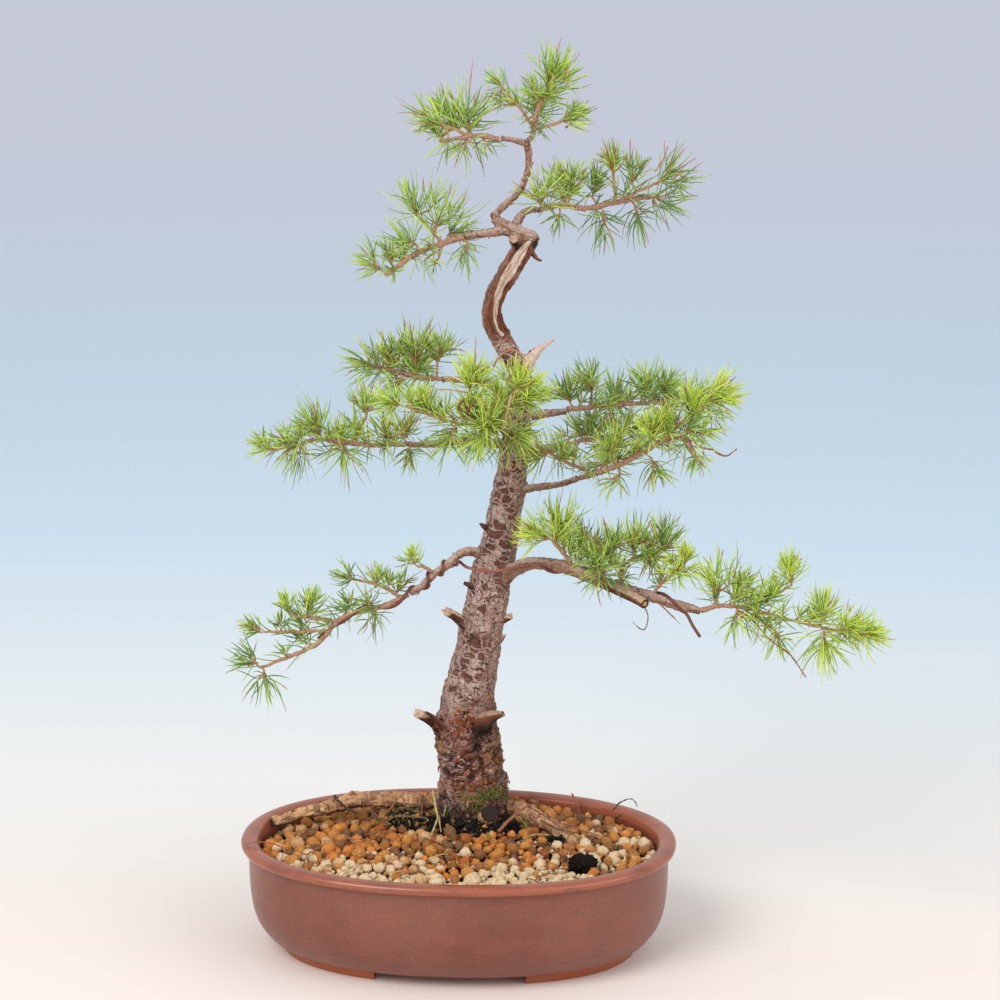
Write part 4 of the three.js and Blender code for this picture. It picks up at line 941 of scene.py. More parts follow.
class Bark:
    """The pattern of the bark, made the same in the relief and in the colours."""

    def __init__(self, tree):
        self.tree = tree
        for mark in ("low", "plated", "rusty", "limb", "root", "dead", "hollow", "thick", "damp"):
            setattr(self, mark, tree.attribute(mark))
        flow = self.flow = tree.arrow("flow")
        wander = tree.bent(tree.bent(tree.bent(flow, 0.12, 5.0), 0.5, 1.4), 1.5, 0.5)
        self.plate_edge, self.plate_tone = self.blocks(wander, (0.82, 0.82, 1.4), 0.17)
        layers = tree.bent(tree.bent(flow, 0.1, 7.0), 0.5, 1.8)
        self.layer_edge, self.layer_tone = self.blocks(layers, (0.5, 0.5, 1.5), 0.15)
        self.split_edge, _ = self.blocks(wander, (1.0, 1.0, 0.22), 0.12)
        self.grain = tree.noise(flow, 0.6, 5.0, 0.68)
        self.fibre = tree.noise(tree.stretched(flow, (0.75, 0.75, 0.13)), 1.0, 5.0, 0.62)
        self.streak = tree.noise(tree.stretched(flow, (1.3, 1.3, 0.09)), 1.0, 4.0, 0.6)
        self.rings = tree.noise(tree.stretched(flow, (0.12, 0.12, 0.7)), 1.0, 4.0, 0.6)
        self.patch = tree.noise(flow, 0.075, 3.0, 0.6)
        self.cloud = tree.noise(tree.vector("ADD", flow, (31.0, 7.0, 0.0)), 0.04, 3.0, 0.6)
        contour = tree.noise(wander, 0.2, 2.0, 0.5)
        self.contour = tree.math("ABSOLUTE", tree.math("SUBTRACT", contour, 0.5))

    def blocks(self, place, factors, scale):
        """Blocks of bark: how far each place is from the edge of its block, and a value for each block."""
        place = self.tree.stretched(place, factors)
        tone = self.tree.split(self.tree.cells(place, scale, "Color"))[0]
        return self.tree.cells(place, scale, feature="DISTANCE_TO_EDGE"), tone

    def height(self):
        """The height of the bark in millimetres, about 0 in the mean."""
        tree, span, plus, times = self.tree, self.tree.span, self.tree.plus, self.tree.times
        plates = plus(span(self.plate_edge, 0.0, 0.1, -0.3, 0.12), span(self.split_edge, 0.0, 0.05, -0.4, 0.0))
        layers = plus(span(self.layer_edge, 0.0, 0.1, -0.5, 0.2), span(self.layer_tone, 0.0, 1.0, -0.7, 0.8))
        trunk = tree.blend(self.low, plates, layers)
        trunk = tree.blend(self.rusty, trunk, span(self.fibre, 0.2, 0.8, -1.2, 1.2))
        limb = plus(span(self.fibre, 0.2, 0.8, -0.35, 0.35), span(self.rings, 0.3, 0.7, -0.4, 0.4))
        root = plus(span(self.fibre, 0.2, 0.8, -0.9, 0.9), span(self.patch, 0.3, 0.7, -1.3, 1.3))
        height = tree.blend(self.root, tree.blend(self.limb, trunk, limb), root)
        crumbs = times(
            span(self.grain, 0.2, 0.8, -0.9, 0.9), span(self.low, 0.0, 1.0, 0.4, 0.95),
            span(self.root, 0.0, 1.0, 1.0, 0.4), span(self.thick, 2.0, 9.0, 0.4, 1.0),
        )
        lumps = times(span(self.patch, 0.3, 0.7, -1.0, 1.0), span(self.thick, 2.0, 16.0, 0.35, 1.1))
        height = tree.blend(self.dead, plus(height, crumbs, lumps), span(self.streak, 0.3, 0.7, -0.9, 0.1))
        return tree.math("SUBTRACT", height, times(self.hollow, 1.8))

    def skin(self, wood):
        """The colour of the bark, with painted light and shade: paler left-facing sides and tops, browner right-facing
        sides, and dark undersides of the roots, hollows and edges of the dead wood.
        """
        tree = self.tree
        mix, span, plus, times, coats = tree.mix, tree.span, tree.plus, tree.times, tree.coats
        grain, rings, patch, fibre, contour = self.grain, self.rings, self.patch, self.fibre, self.contour
        plate_edge, layer_edge, layer_tone = self.plate_edge, self.layer_edge, self.layer_tone
        # Painted light from the facing of the bark. left is how far it faces left, towards the key lamp, and is
        # painted paler. right is how far it faces right, and is painted in browner tones as the shaded side. above is
        # how far it faces up, and the tops of the limbs are painted paler.
        aside, _, upward = tree.split(tree.normal())
        ragged = span(grain, 0.3, 0.7, -0.35, 0.35)
        left = span(tree.math("SUBTRACT", ragged, aside), 0.3, 0.9)
        right = span(plus(ragged, aside), 0.3, 0.75)
        above = span(plus(ragged, upward), 0.0, 0.6)

        # Painted light: the dark plates are thinned on the left-facing and right-facing sides.
        some = plus(self.plate_tone, span(patch, 0.35, 0.65, -0.25, 0.25), span(self.plated, 0.0, 1.0, -0.42, 0.42))
        some = times(
            span(some, 0.3, 0.35), span(right, 0.3, 0.8, 1.0, 0.15), span(left, 0.6, 1.0, 1.0, 0.4),
            span(grain, 0.35, 0.42, 0.4, 1.0),
        )
        # The splits show more on the right-facing side, as painted shade.
        splits = span(plus(patch, times(right, 0.2)), 0.46, 0.54)
        trunk = coats(
            mix(span(grain, 0.36, 0.57), wood.ash_and_highlight, wood.net_and_highlight),
            # Painted shade: the right-facing side is toned tan.
            (wood.tan, times(right, 0.7)),
            (wood.scale, times(span(contour, 0.034, 0.014), span(self.cloud, 0.6, 0.5), 0.9)),
            (wood.net_and_highlight, times(span(contour, 0.075, 0.06), span(contour, 0.03, 0.042), span(patch, 0.38, 0.46), 0.9)),
            (wood.brown, times(span(contour, 0.11, 0.095), span(contour, 0.078, 0.09), 0.7)),
            (wood.net_and_highlight, times(some, span(plate_edge, 0.02, 0.045), 0.85)),
            (mix(span(grain, 0.4, 0.62), wood.scale, wood.brown), times(some, span(plate_edge, 0.06, 0.085))),
            (wood.crack_and_shade, times(span(plate_edge, 0.016, 0.004), span(self.cloud, 0.4, 0.55), 0.8)),
            (wood.crack_and_shade, rings, 0.38, 0.33, 0.8),
            (wood.crack_and_shade, grain, 0.36, 0.3, 0.85),
            (wood.crack_and_shade, times(span(self.split_edge, 0.028, 0.01), splits, 0.85)),
        )
        # Painted highlight: a pale band near the edges of the flakes.
        flake_edge_highlight = times(span(layer_edge, 0.03, 0.06), span(layer_edge, 0.13, 0.08), span(patch, 0.52, 0.58), 0.7)
        flaky = coats(
            mix(span(layer_tone, 0.26, 0.44), wood.scale, wood.rust),
            (wood.brown, layer_tone, 0.66, 0.7, 0.6),
            # Painted shade: the right-facing side of the flaky foot is toned ochre.
            (wood.ochre, times(right, span(grain, 0.44, 0.58), 0.8)),
            # Painted light: the left-facing side, towards the key lamp, is paler.
            (wood.net_and_highlight, times(left, span(layer_tone, 0.3, 0.4), span(grain, 0.38, 0.5), 0.8)),
            (wood.tan, layer_tone, 0.86, 0.89, 0.85),
            (wood.tan, grain, 0.6, 0.68, 0.35),
            (wood.net_and_highlight, flake_edge_highlight),
            (wood.crack_and_shade, layer_edge, 0.04, 0.0, 0.95),
            (wood.crack_and_shade, rings, 0.44, 0.38, 0.9),
            (wood.crack_and_shade, grain, 0.37, 0.32, 0.85),
        )
        rusty = coats(
            mix(span(fibre, 0.36, 0.56), wood.scale, wood.rust),
            (wood.scale, self.streak, 0.5, 0.7, 0.7),
            (wood.tan, self.streak, 0.42, 0.34, 0.7),
            (wood.crack_and_shade, fibre, 0.38, 0.3, 0.8),
            # Painted light: the left-facing side, towards the key lamp, is paler.
            (wood.ash_and_highlight, times(left, 0.9)),
            (wood.ash_and_highlight, patch, 0.58, 0.66, 0.7),
        )
        young = coats(
            mix(span(fibre, 0.36, 0.54), wood.scale, wood.twig),
            # Painted highlight: the tops of the limbs are paler.
            (wood.net_and_highlight, times(above, 0.75)),
            (wood.ash_and_highlight, patch, 0.5, 0.6, 0.6),
            (wood.scale, rings, 0.42, 0.33, 0.6),
            (wood.crack_and_shade, grain, 0.4, 0.3, 0.9),
        )
        crust = coats(
            mix(span(fibre, 0.3, 0.42, 0.2, 1.0), wood.scale, wood.root),
            (wood.rust, patch, 0.52, 0.62, 0.3),
            (wood.rust, layer_tone, 0.55, 0.6, 0.4),
            (wood.tan, layer_tone, 0.84, 0.88, 0.8),
            (wood.crack_and_shade, rings, 0.42, 0.34, 0.8),
            (wood.net_and_highlight, grain, 0.54, 0.64, 0.55),
            (wood.crack_and_shade, grain, 0.37, 0.3, 0.85),
            # Painted shade: the undersides of the roots are darkened.
            (wood.crack_and_shade, upward, -0.2, -0.6, 0.8),
        )
        strands = tree.noise(tree.stretched(self.flow, (0.8, 0.8, 0.05)), 1.0, 3.0, 0.6)
        bleached = coats(
            mix(span(strands, 0.48, 0.6), wood.dead, wood.ash_and_highlight),
            (wood.rust, strands, 0.41, 0.36, 0.85),
        )
        edge = plus(self.dead, span(fibre, 0.3, 0.7, -0.3, 0.3))
        return coats(
            trunk,
            (flaky, plus(self.low, span(patch, 0.3, 0.7, -0.45, 0.45)), 0.3, 0.7),
            (rusty, self.rusty),
            (young, self.limb),
            (crust, self.root),
            # Painted shadow: a dark band along the edge of the dead wood.
            (wood.crack_and_shade, edge, 0.14, 0.4, 0.75),
            (bleached, edge, 0.42, 0.54),
            # Painted shade: the hollows are near-black.
            (wood.crack_and_shade, self.hollow, 0.05, 0.6, 0.95),
            (wood.damp, plus(self.damp, span(patch, 0.3, 0.7, -0.5, 0.3)), 0.2, 0.9, 0.9),
        )


def relief_tree():
    tree = Geometry("bark_relief", "Depth")
    return tree.end(tree.raised(tree.given["Geometry"], tree.times(Bark(tree).height(), tree.given["Depth"])))


def bark_material(wood):
    tree = Shader("larch_bark")
    bark = Bark(tree)
    height = tree.plus(bark.height(), tree.span(bark.grain, 0.2, 0.8, 0.0, 1.0))
    return tree.finish(bark.skin(wood), tree.span(bark.grain, 0.3, 0.7, 0.95, 0.68), height, 0.0009, gloss=0.35)


# Loose flakes on the bark, and knobs of old spurs along the limbs


def scatter_tree(name, sides, top, thickness):
    """Low plates or knobs standing off the surface, each turned, tilted and sized at random."""
    tree = Geometry(name, "Size")
    turned = tree.towards(tree.arrow("facing"))
    for axis, low, high, seed in (((0, 0, 1), 0.0, 6.28, 5), ((1, 0, 0), -0.5, 0.4, 6)):
        turn = tree.add("FunctionNodeAxisAngleToRotation", {"Axis": axis, "Angle": tree.random(low, high, seed)})[0]
        keys = {"Rotation": turned, "Rotate By": turn}
        turned = tree.add("FunctionNodeRotateRotation", keys, rotation_space="LOCAL")[0]
    size = tree.times(tree.attribute("size"), tree.given["Size"])
    scale = tree.scaled(tree.random((0.55, 0.35, 0.5), (1.1, 0.8, 1.1), 7), size)
    made = tree.spread(tree.cone(sides, 1, top, thickness), turned, scale)
    return tree.end(tree.crumpled(made, 0.5, tree.times(tree.given["Size"], 0.9)))


def flake_material(wood):
    tree = Shader("bark_flake")
    tone = tree.attribute("tone")
    grain = tree.noise(tree.place(), 1.1, 4.0, 0.6)
    skin = tree.coats(
        tree.mix(tree.span(tone, 0.0, 0.4), wood.scale, wood.brown),
        (wood.tan, tone, 0.58, 0.72),
        (wood.rust, tone, 0.76, 0.8),
        (wood.net_and_highlight, grain, 0.48, 0.7, 0.5),
        (wood.crack_and_shade, grain, 0.46, 0.32, 0.9),
    )
    return tree.finish(skin, 0.9, grain, 0.0005)


def flake_points(wood, settings, chance):
    """Seeded places, facings, sizes and tones of the flakes, most of them low on the trunk."""
    mesh = wood.data
    places, facing = places_of(mesh), read(mesh.vertices, "normal", 3)
    low, limb, root, dead, hollow = (
        read(mesh.attributes[name].data, "value", 1)[:, 0] for name in ("low", "limb", "root", "dead", "hollow")
    )
    weight = 0.2 + low
    weight *= (1 - limb) * (1 - 0.6 * root) * (1 - dead) * (1 - hollow)
    weight *= (places[:, 2] < 335) * (places[:, 2] > 60)
    chosen = chance.choice(len(places), settings.flakes, replace=False, p=weight / weight.sum())
    size = chance.uniform(0.4, 1.0, len(chosen)) ** 1.4 * (0.5 + 0.5 * low[chosen])
    tone = chance.uniform(0, 1, len(chosen))
    places, facing = places[chosen], facing[chosen]
    return mesh_object("flake_points", places - facing * 0.15, facing=facing, size=size, tone=tone)


def knob_points(chance):
    """Places of old spurs on the limbs, one every few millimetres on any side."""
    places, facing, size = [], [], []
    for name, route in WOOD.items():
        if kind_of(name) != "limb":
            continue
        centres, radii, _ = curve_points(thinner(route), 1.0)
        ahead, across, up = frames_along(centres)
        i = int(chance.integers(4, 9))
        while i < len(centres):
            angle = chance.uniform(0, FULL_TURN)
            out = unit(round_of(up[i], across[i], angle) + ahead[i] * 0.3)
            places.append(centres[i] + out * radii[i] * 0.9)
            facing.append(out)
            size.append(chance.uniform(0.5, 1.0))
            i += int(chance.integers(3, 9))
    size = np.array(size)
    return mesh_object("knob_points", places, facing=facing, size=size, tone=size * 0.6)


# Stubs: a collar of bark, and a broken end that stands out of it

COLLARS = [
    [[6,21,176,4.8], [-1,12,183,3.9]], [[-12,27,116,4.8], [-16,20,121,3.9]], [[13,24,119,6.5], [13,14,127,5]],
    [[14,27,190,3.2], [8,24,197,2.9]], [[17,23,231,3], [14,20,233,2.5]], [[20,27,178,3.5], [23,26,180,2.9]],
    [[30,12,390,3.6], [30,6,393,2.9]], [[12,38,153,4.6], [17,49,159,3.4]], [[35,16,325,4.3], [38,17,329,2.3],
    [43,17,333,1.4]], [[13,22,66.5,6.5], [16,14,70.5,5.2], [16.6,11.4,71.3,4.9]],
]
# Each broken end: its route, how ragged it is, and how bleached it is
BROKEN = [
    ([[2,17,179,3], [-2,10,185,2.6], [-7,3,190,2.3]], 2.6, 0.9),
    ([[-13,25,117,3.2], [-17,19,123,2.9], [-23,11,129,2.6]], 2.4, 0.75),
    ([[12,17,123,4.6], [15,9,127,4.4], [19,5,130.5,3.2], [24.5,2.5,132.5,1.5]], 1.6, 0.3),
    ([[11,25,194,2.3], [5.5,21,199.6,1.7], [2,19.6,201.4,0.9]], 1, 0.07),
    ([[15,21,232,2.2], [12.6,18.8,234,1.3], [10.8,17.8,235.4,0.5]], 0.6, 0.06),
    ([[22,26,179,2.3], [27.5,24.5,182,1.8]], 1.2, 0.7),
    ([[37,13,386,1.9], [40,12,383.5,1.3], [42,10.5,381.5,0.8], [44,10,380.5,0.6]], 0.8, 0.1),
    ([[30,8,392,2.4], [30,3.6,392.6,2]], 0.8, 0.4),
    ([[16,48,158,2.8], [20,55,162.5,2.4]], 1.8, 0.6),
    ([[35,16,322,3.8], [40,17,329,2.9], [45,17.5,333.5,1.4], [51,18,337,0.4]], 1.2, 1),
    ([[-10,18,119,2], [-15,12,127,1.2], [-18.5,8,131,0.5]], 0.6, 0.1),
]
CUT_STUB = [[78,-4,209,2.8], [90,-9,205,2.9], [97.5,-13.5,202.6,2.8], [101.5,-18,201.4,2.7]]
ROUND_STUB = [[16,13,71,4.5], [17,8.5,73.2,4.3]]
# The sides of a broken end and of a sawn stub
TORN_SIDES, SAWN_SIDES = 18, 24


def broken_end(route, ragged, chance):
    """A short rod whose end is torn lengthwise, hollow in the middle."""
    sides = TORN_SIDES
    vertices, faces = tube(route, sides, 0.7)
    rings = (len(vertices) - 2) // sides
    ahead = unit(vertices[-1] - vertices[-2])
    bite = np.repeat(chance.uniform(-1, 1, sides // 2), 2) * ragged * 0.6 + chance.uniform(-0.35, 0.35, sides) * ragged
    for ring in range(rings):
        rows = slice(ring * sides, (ring + 1) * sides)
        vertices[rows] += ahead * (bite * (ring / (rings - 1)) ** 3)[:, None]
        vertices[rows] += chance.normal(0, 0.12, (sides, 3))
    vertices[-1] -= ahead * ragged * 0.7
    along = np.concatenate([np.repeat(np.arange(rings) / (rings - 1), sides), [0.0, 1.0]])
    return vertices, faces, along


def stub_mesh(chance):
    """All broken ends, and two sawn stubs with flat ends, with how bare and how pale each place is."""
    parts, marks = [], []
    for route, ragged, bleached in BROKEN:
        vertices, faces, along = broken_end(route, ragged, chance)
        parts.append((vertices, faces))
        marks.append([along, np.full(len(along), bleached), np.zeros(len(along))])
    for route, tone in ((CUT_STUB, 0.5), (ROUND_STUB, 0.0)):
        vertices, faces = tube(route, SAWN_SIDES, 0.7)
        gaps = np.linalg.norm(vertices - vertices[-1], axis=1) / route[-1][3]
        parts.append((vertices, faces))
        marks.append([np.zeros(len(gaps)), np.full(len(gaps), tone), np.where(gaps < 0.5, 1.0, 0.0)])
    _, _, flow = straightened(np.vstack([vertices for vertices, _ in parts]))
    along, pale, sawn = np.hstack(marks)
    return mesh_object("broken_stubs", *gathered(parts), along=along, pale=pale, sawn=sawn, flow=flow)


def stub_material(wood):
    tree = Shader("stub_wood")
    mix, span, plus, times = tree.mix, tree.span, tree.plus, tree.times
    along, pale, sawn = (tree.attribute(name) for name in ("along", "pale", "sawn"))
    fibre = tree.noise(tree.arrow("flow"), 0.9, 5.0, 0.65)
    streak = tree.noise(tree.place(), 0.7, 5.0, 0.7)
    upward = tree.split(tree.normal())[2]
    side = tree.coats(
        mix(span(streak, 0.36, 0.7), wood.scale, wood.rust),
        # Painted shade: the undersides of the stubs are darkened.
        (wood.crack_and_shade, upward, 0.1, -0.7, 0.8),
        (wood.tan, fibre, 0.55, 0.7, 0.6),
        # Painted highlight: the tops of the stubs are paler.
        (wood.ash_and_highlight, upward, 0.2, 0.8, 0.6),
        (wood.dead, pale, 0.97, 1.0),
    )
    # Painted light: lit is the upward-facing top of a stub plus its torn end, and the bleached wood shows most there.
    lit = plus(span(upward, -0.2, 0.5), span(along, 0.75, 1.0, 0.0, 0.8))
    bare = plus(times(span(lit, 0.2, 0.9), pale), span(pale, 0.95, 1.0, 0.0, 0.5), span(streak, 0.3, 0.7, -0.2, 0.2))
    ring = mix(span(sawn, 0.35, 0.6), wood.crack_and_shade, wood.cut)
    skin = tree.coats(
        side,
        (mix(span(streak, 0.4, 0.65), wood.dead, wood.tan), bare, 0.22, 0.48),
        (wood.net_and_highlight, pale, 0.96, 1.0, 0.65),
        (ring, times(span(sawn, 0.02, 0.2), span(pale, 0.1, 0.4))),
        (wood.crack_and_shade, streak, 0.42, 0.3, 0.9),
        (wood.damp, pale, 0.12, 0.02, 0.93),
    )
    return tree.finish(skin, 0.85, plus(streak, fibre), 0.0008, gloss=0.35)


class LARCH_OT_wood(bpy.types.Operator):
    """Make the trunk, limbs and surface roots with their bark"""

    bl_idname = "larch.wood"
    bl_label = "Wood and bark"

    def execute(self, context):
        settings = context.scene.larch_wood
        bark = bark_material(settings)
        wood = relief_tree().run(mark_wood(wood_skin(settings)), "wood", bark, Depth=settings.relief)
        keep(wood, bark, "bark", "trunk")
        plates = flake_material(settings)
        points = flake_points(wood, settings, draws("flakes"))
        size = settings.flake_size / 2
        flakes = scatter_tree("flake_scatter", 6, 0.62, 0.3).run(points, "bark_flakes", plates, Size=size)
        keep(flakes, plates, "bark", smooth=False)
        return {"FINISHED"}


class LARCH_OT_stubs(bpy.types.Operator):
    """Make the broken and sawn stubs, and the old spurs along the limbs"""

    bl_idname = "larch.stubs"
    bl_label = "Stubs and spurs"

    def execute(self, context):
        settings = context.scene.larch_wood
        keep(stub_mesh(draws("stubs")), stub_material(settings), "bark", sharp_above=50)
        plates = flake_material(settings)
        points = knob_points(draws("spurs"))
        size = settings.spur_size
        knobs = scatter_tree("knob_scatter", 7, 0.5, 1.0).run(points, "old_spurs", plates, Size=size)
        keep(knobs, plates, "bark", sharp_above=40)
        return {"FINISHED"}


# Leafy stems: twigs with their spurs and buds, and needles in tufts

# Tips of this season's growth, where the needles are brightest
BRIGHT_PLACES = np.array([
    [44,7,465], [47,8,471], [24,0,472], [55,8,454], [-5,-6,452], [43,19,410], [59,26,415], [81,33,424], [9,-23,316],
    [33,-18,317], [104,-7,290], [133,-7,309], [50,-9,234], [122,-11,221], [179,-10,212], [196,-24,191], [214,-23,188],
    [205,-26,192], [-23,0,217], [-44,-3,205], [-81,-15,189], [-89,-16,192], [-106,-11,180],
], dtype=float)
BRIGHT_REACH = 16.0
TWIG_TRIM = 0.74
# The turn from one needle to the next round a tuft
GOLDEN = 2.39996


def nearest_place(stems, place):
    """The nearest place on any of the stems, with its radius."""
    best = None
    for stem in stems:
        places, radii, _ = curve_points(stem, 1.5)
        gaps = np.linalg.norm(places - place, axis=1)
        i = gaps.argmin()
        if best is None or gaps[i] < best[0]:
            best = (gaps[i], places[i], radii[i])
    return best[1], best[2]


def spray_tufts(spray, settings, row):
    """Tufts of a spray: foot of the spur or None, place, direction, reach, and how full a large tuft is.

    Each large tuft of the table becomes a few smaller ones on short shoots. Small tufts follow all along the stems, on
    any side but mostly above, clear of the others."""
    chance, found = draws("tufts", row), []
    for x, y, z, *aim, reach in spray.tufts:
        place, aim = np.array([x, y, z], dtype=float), unit(aim)
        found.append((None, place, aim, reach * (0.85 + 0.14 * (place[0] > 150)), 1.0))
        for _ in range(round((2.7 if reach > 18 else 1.9) * min(1.0, 0.4 + 0.6 * spray.full))):
            way = unit(aim + chance.normal(0, 0.62, 3))
            far = place + way * reach * chance.uniform(0.14, 0.34)
            found.append((place, far, unit(way + aim * 0.4), reach * chance.uniform(0.6, 0.8), 0.62))
    main = np.array([tuft[:3] for tuft in spray.tufts], dtype=float)
    reaches = [tuft[6] for tuft in spray.tufts]
    for stem in spray.stems:
        places, radii, _ = curve_points(stem, 1.0)
        ahead, across, up = frames_along(places)
        step = max(2, int(settings.spacing / MM / spray.full))
        for i in range(int(chance.integers(3, step + 3)), len(places), step):
            angle = chance.normal(0, 1.1)
            aim = unit(round_of(up[i], across[i], angle) + ahead[i] * chance.uniform(0, 0.6))
            place = places[i] + aim * (radii[i] + 1.0)
            gaps = np.linalg.norm(main - place, axis=1)
            if gaps.min() > 4:
                reach = 0.66 * reaches[gaps.argmin()] * chance.uniform(0.7, 1.1)
                found.append((None, place, aim, max(9.0, reach), 0.0))
    return found


def twig_lines(name, spray, tufts, chance):
    """Lines of the stems, and of a spur and a bud under each tuft, with their radii."""
    lines = Lines()
    for stem in spray.stems:
        places, radii, _ = curve_points(stem, 1.6)
        wander = chance.normal(0, 0.14, places.shape)
        wander[0] = 0
        knobs = 1 + 0.16 * np.maximum(0, chance.normal(0, 1, len(radii)))
        knobs[-1] = 0.6
        lines.draw(places + wander, radii * TWIG_TRIM * knobs)
    for foot, place, aim, reach, full in tufts:
        root, radius = nearest_place(spray.stems, place) if foot is None else (foot, 1.1)
        middle = (root + place) / 2 + chance.normal(0, 0.3, 3)
        bud = [root, middle, place - aim * 0.9, place, place + aim * 0.7]
        lines.draw(bud, [radius * 0.5, 0.5, 0.6, 0.72, 0.35])
        if full == 1:
            lines.draw([place, place + aim * reach * 0.12, place + aim * reach * 0.22], [0.6, 0.5, 0.3])
    return lines.mesh(name)


def twig_tree():
    tree = Geometry("twigs")
    wood = tree.swept(7, tree.attribute("thick"))
    bumps = tree.math("SUBTRACT", tree.noise(tree.place(), 0.6, 2.0), 0.5)
    return tree.end(tree.raised(wood, tree.times(bumps, 0.0013)))


def twig_material(wood):
    tree = Shader("larch_twig")
    mix, span = tree.mix, tree.span
    grain, mottle = tree.noise(tree.place(), 0.9, 5.0, 0.65), tree.noise(tree.place(), 0.22)
    upward = tree.plus(tree.split(tree.normal())[2], span(grain, 0.3, 0.7, -0.4, 0.4))
    shoot = tree.coats(mix(span(grain, 0.38, 0.66), wood.shoot, wood.twig), (wood.rust, mottle, 0.54, 0.68, 0.6))
    # Painted highlight: the tops of the older twigs are paler.
    old = tree.coats(mix(span(grain, 0.38, 0.5), wood.brown, wood.twig), (wood.ash_and_highlight, upward, 0.1, 0.7, 0.8))
    skin = tree.coats(
        shoot,
        (old, tree.attribute("thick"), 0.0008, 0.00105),
        (wood.net_and_highlight, grain, 0.6, 0.72, 0.6),
        (wood.crack_and_shade, grain, 0.42, 0.32, 0.9),
    )
    return tree.finish(skin, 0.85, grain, 0.0005)


def bent_needles(ahead, reach, towards, chance, curl=0.2):
    """How far the tips of needles curve: mostly towards a direction, and each a little its own way."""
    count = len(reach)
    aside = towards - ahead * (ahead * towards).sum(axis=1, keepdims=True)
    forward = aside * (reach * chance.uniform(-0.25, 0.8, count))[:, None]
    own = np.cross(ahead, unit(chance.normal(0, 1, (count, 3)))) * (reach * chance.normal(0, curl, count))[:, None]
    lift = UP * (reach * chance.uniform(-0.3, 0.2, count))[:, None]
    return forward + own + lift


def tuft_needles(place, aim, reach, count, tone, shoot, withered, chance):
    """Feet, directions, lengths, bends, tones and withering of the needles of one tuft on its short shoot."""
    side = unit(np.cross(aim, (0.31, 0.52, 0.79)))
    other = np.cross(aim, side)
    order = (np.arange(count) + 0.5) / count
    turn = np.arange(count) * GOLDEN + chance.uniform(0, 6.28) + chance.normal(0, 0.45, count)
    widest = 1.4 if shoot < 0.25 else 1.2
    lean = 0.12 + (widest - 0.12) * np.sqrt(order) + chance.normal(0, 0.2, count)
    ahead = aim * np.cos(lean)[:, None]
    ahead = ahead + (side * np.cos(turn)[:, None] + other * np.sin(turn)[:, None]) * np.sin(lean)[:, None]
    ahead = unit(ahead + chance.normal(0, 0.12, (count, 3)) + UP * 0.2)
    reaches = (reach - reach * shoot * (1 - order)) * chance.uniform(0.66, 1.0, count) * (1.06 - 0.16 * order)
    foot = place + ahead * 0.8 + aim * (reach * shoot * (1 - order))[:, None]
    bends = bent_needles(ahead, reaches, np.broadcast_to(aim, ahead.shape), chance)
    tones = np.clip(tone + chance.normal(0, 0.24, count) - 0.2 * order + 0.06, 0, 1)
    luck = chance.uniform(0, 1, count)
    dry = np.where(luck < withered / 4, 1.0, np.where(luck < withered, chance.uniform(0.06, 0.5, count), 0.0))
    return foot, ahead, reaches, bends, tones, dry


def stem_needles(spray, chance):
    """Single needles along the outer stems, and thin withered ones hanging below them."""
    rows = []
    for stem in spray.stems:
        places, radii, shares = curve_points(stem, 1.0)
        ahead, across, up = frames_along(places)
        at = 0.0
        while at < len(places) - 1:
            i = int(at)
            at += chance.uniform(0.7, 2.2) / spray.full
            hanging = chance.uniform() < 0.03
            if not hanging and shares[i] < 0.25:
                continue
            angle = chance.normal(math.pi, 0.45) if hanging else chance.normal(0, 1.2)
            lean = chance.uniform(0.6, 1.3)
            out = round_of(up[i], across[i], angle)
            rows.append((
                places[i] + out * radii[i] * 0.7,
                unit(ahead[i] * math.cos(lean) + out * math.sin(lean)),
                chance.uniform(15, 25) if hanging else chance.uniform(9, 17.5),
                unit(chance.normal(0, 1, 3)) if hanging else ahead[i],
                1.0 if hanging or chance.uniform() < 0.05 else 0.0,
                np.clip(spray.fresh + chance.normal(0, 0.16), 0, 1),
            ))
    feet, aims, reaches, towards, dries, tones = (np.array(column) for column in zip(*rows))
    return feet, aims, reaches, bent_needles(aims, reaches, towards, chance, 0.3), tones, dries


def needle_mesh(name, feet, aim, reach, bends, tone, dry):
    """A point for each needle, with what the needle tree reads."""
    return mesh_object(name, feet, aim=aim, reach=reach * MM, bend=bends * MM, tone=tone, dry=dry)


def needle_points(name, spray, tufts, settings, chance):
    parts = []
    for _, place, aim, reach, full in tufts:
        count = settings.per_tuft * full if full else settings.per_side_tuft
        count = int(count * max(spray.full, 0.75) ** 0.5 * min(1.3, 0.4 + reach / 24) * chance.uniform(0.85, 1.2))
        glow = max(0, 1 - np.linalg.norm(BRIGHT_PLACES - place - aim * 4, axis=1).min() / BRIGHT_REACH)
        # Painted shade: tufts that point down are darker.
        mean = spray.fresh + 0.4 * glow - (0.12 if aim[2] < -0.4 else 0) - (0 if full else 0.06)
        shoot = 0.36 if glow > 0.35 else chance.uniform(0.1, 0.3)
        count = int(count * (1 + 0.6 * (shoot > 0.35)) * (0.7 if aim[2] < -0.3 else 1))
        tone = mean + chance.normal(0, 0.07)
        parts.append(tuft_needles(place, aim, reach, count, tone, shoot, spray.withered, chance))
    parts.append(stem_needles(spray, chance))
    return needle_mesh(name, *(np.concatenate(column) for column in zip(*parts)))


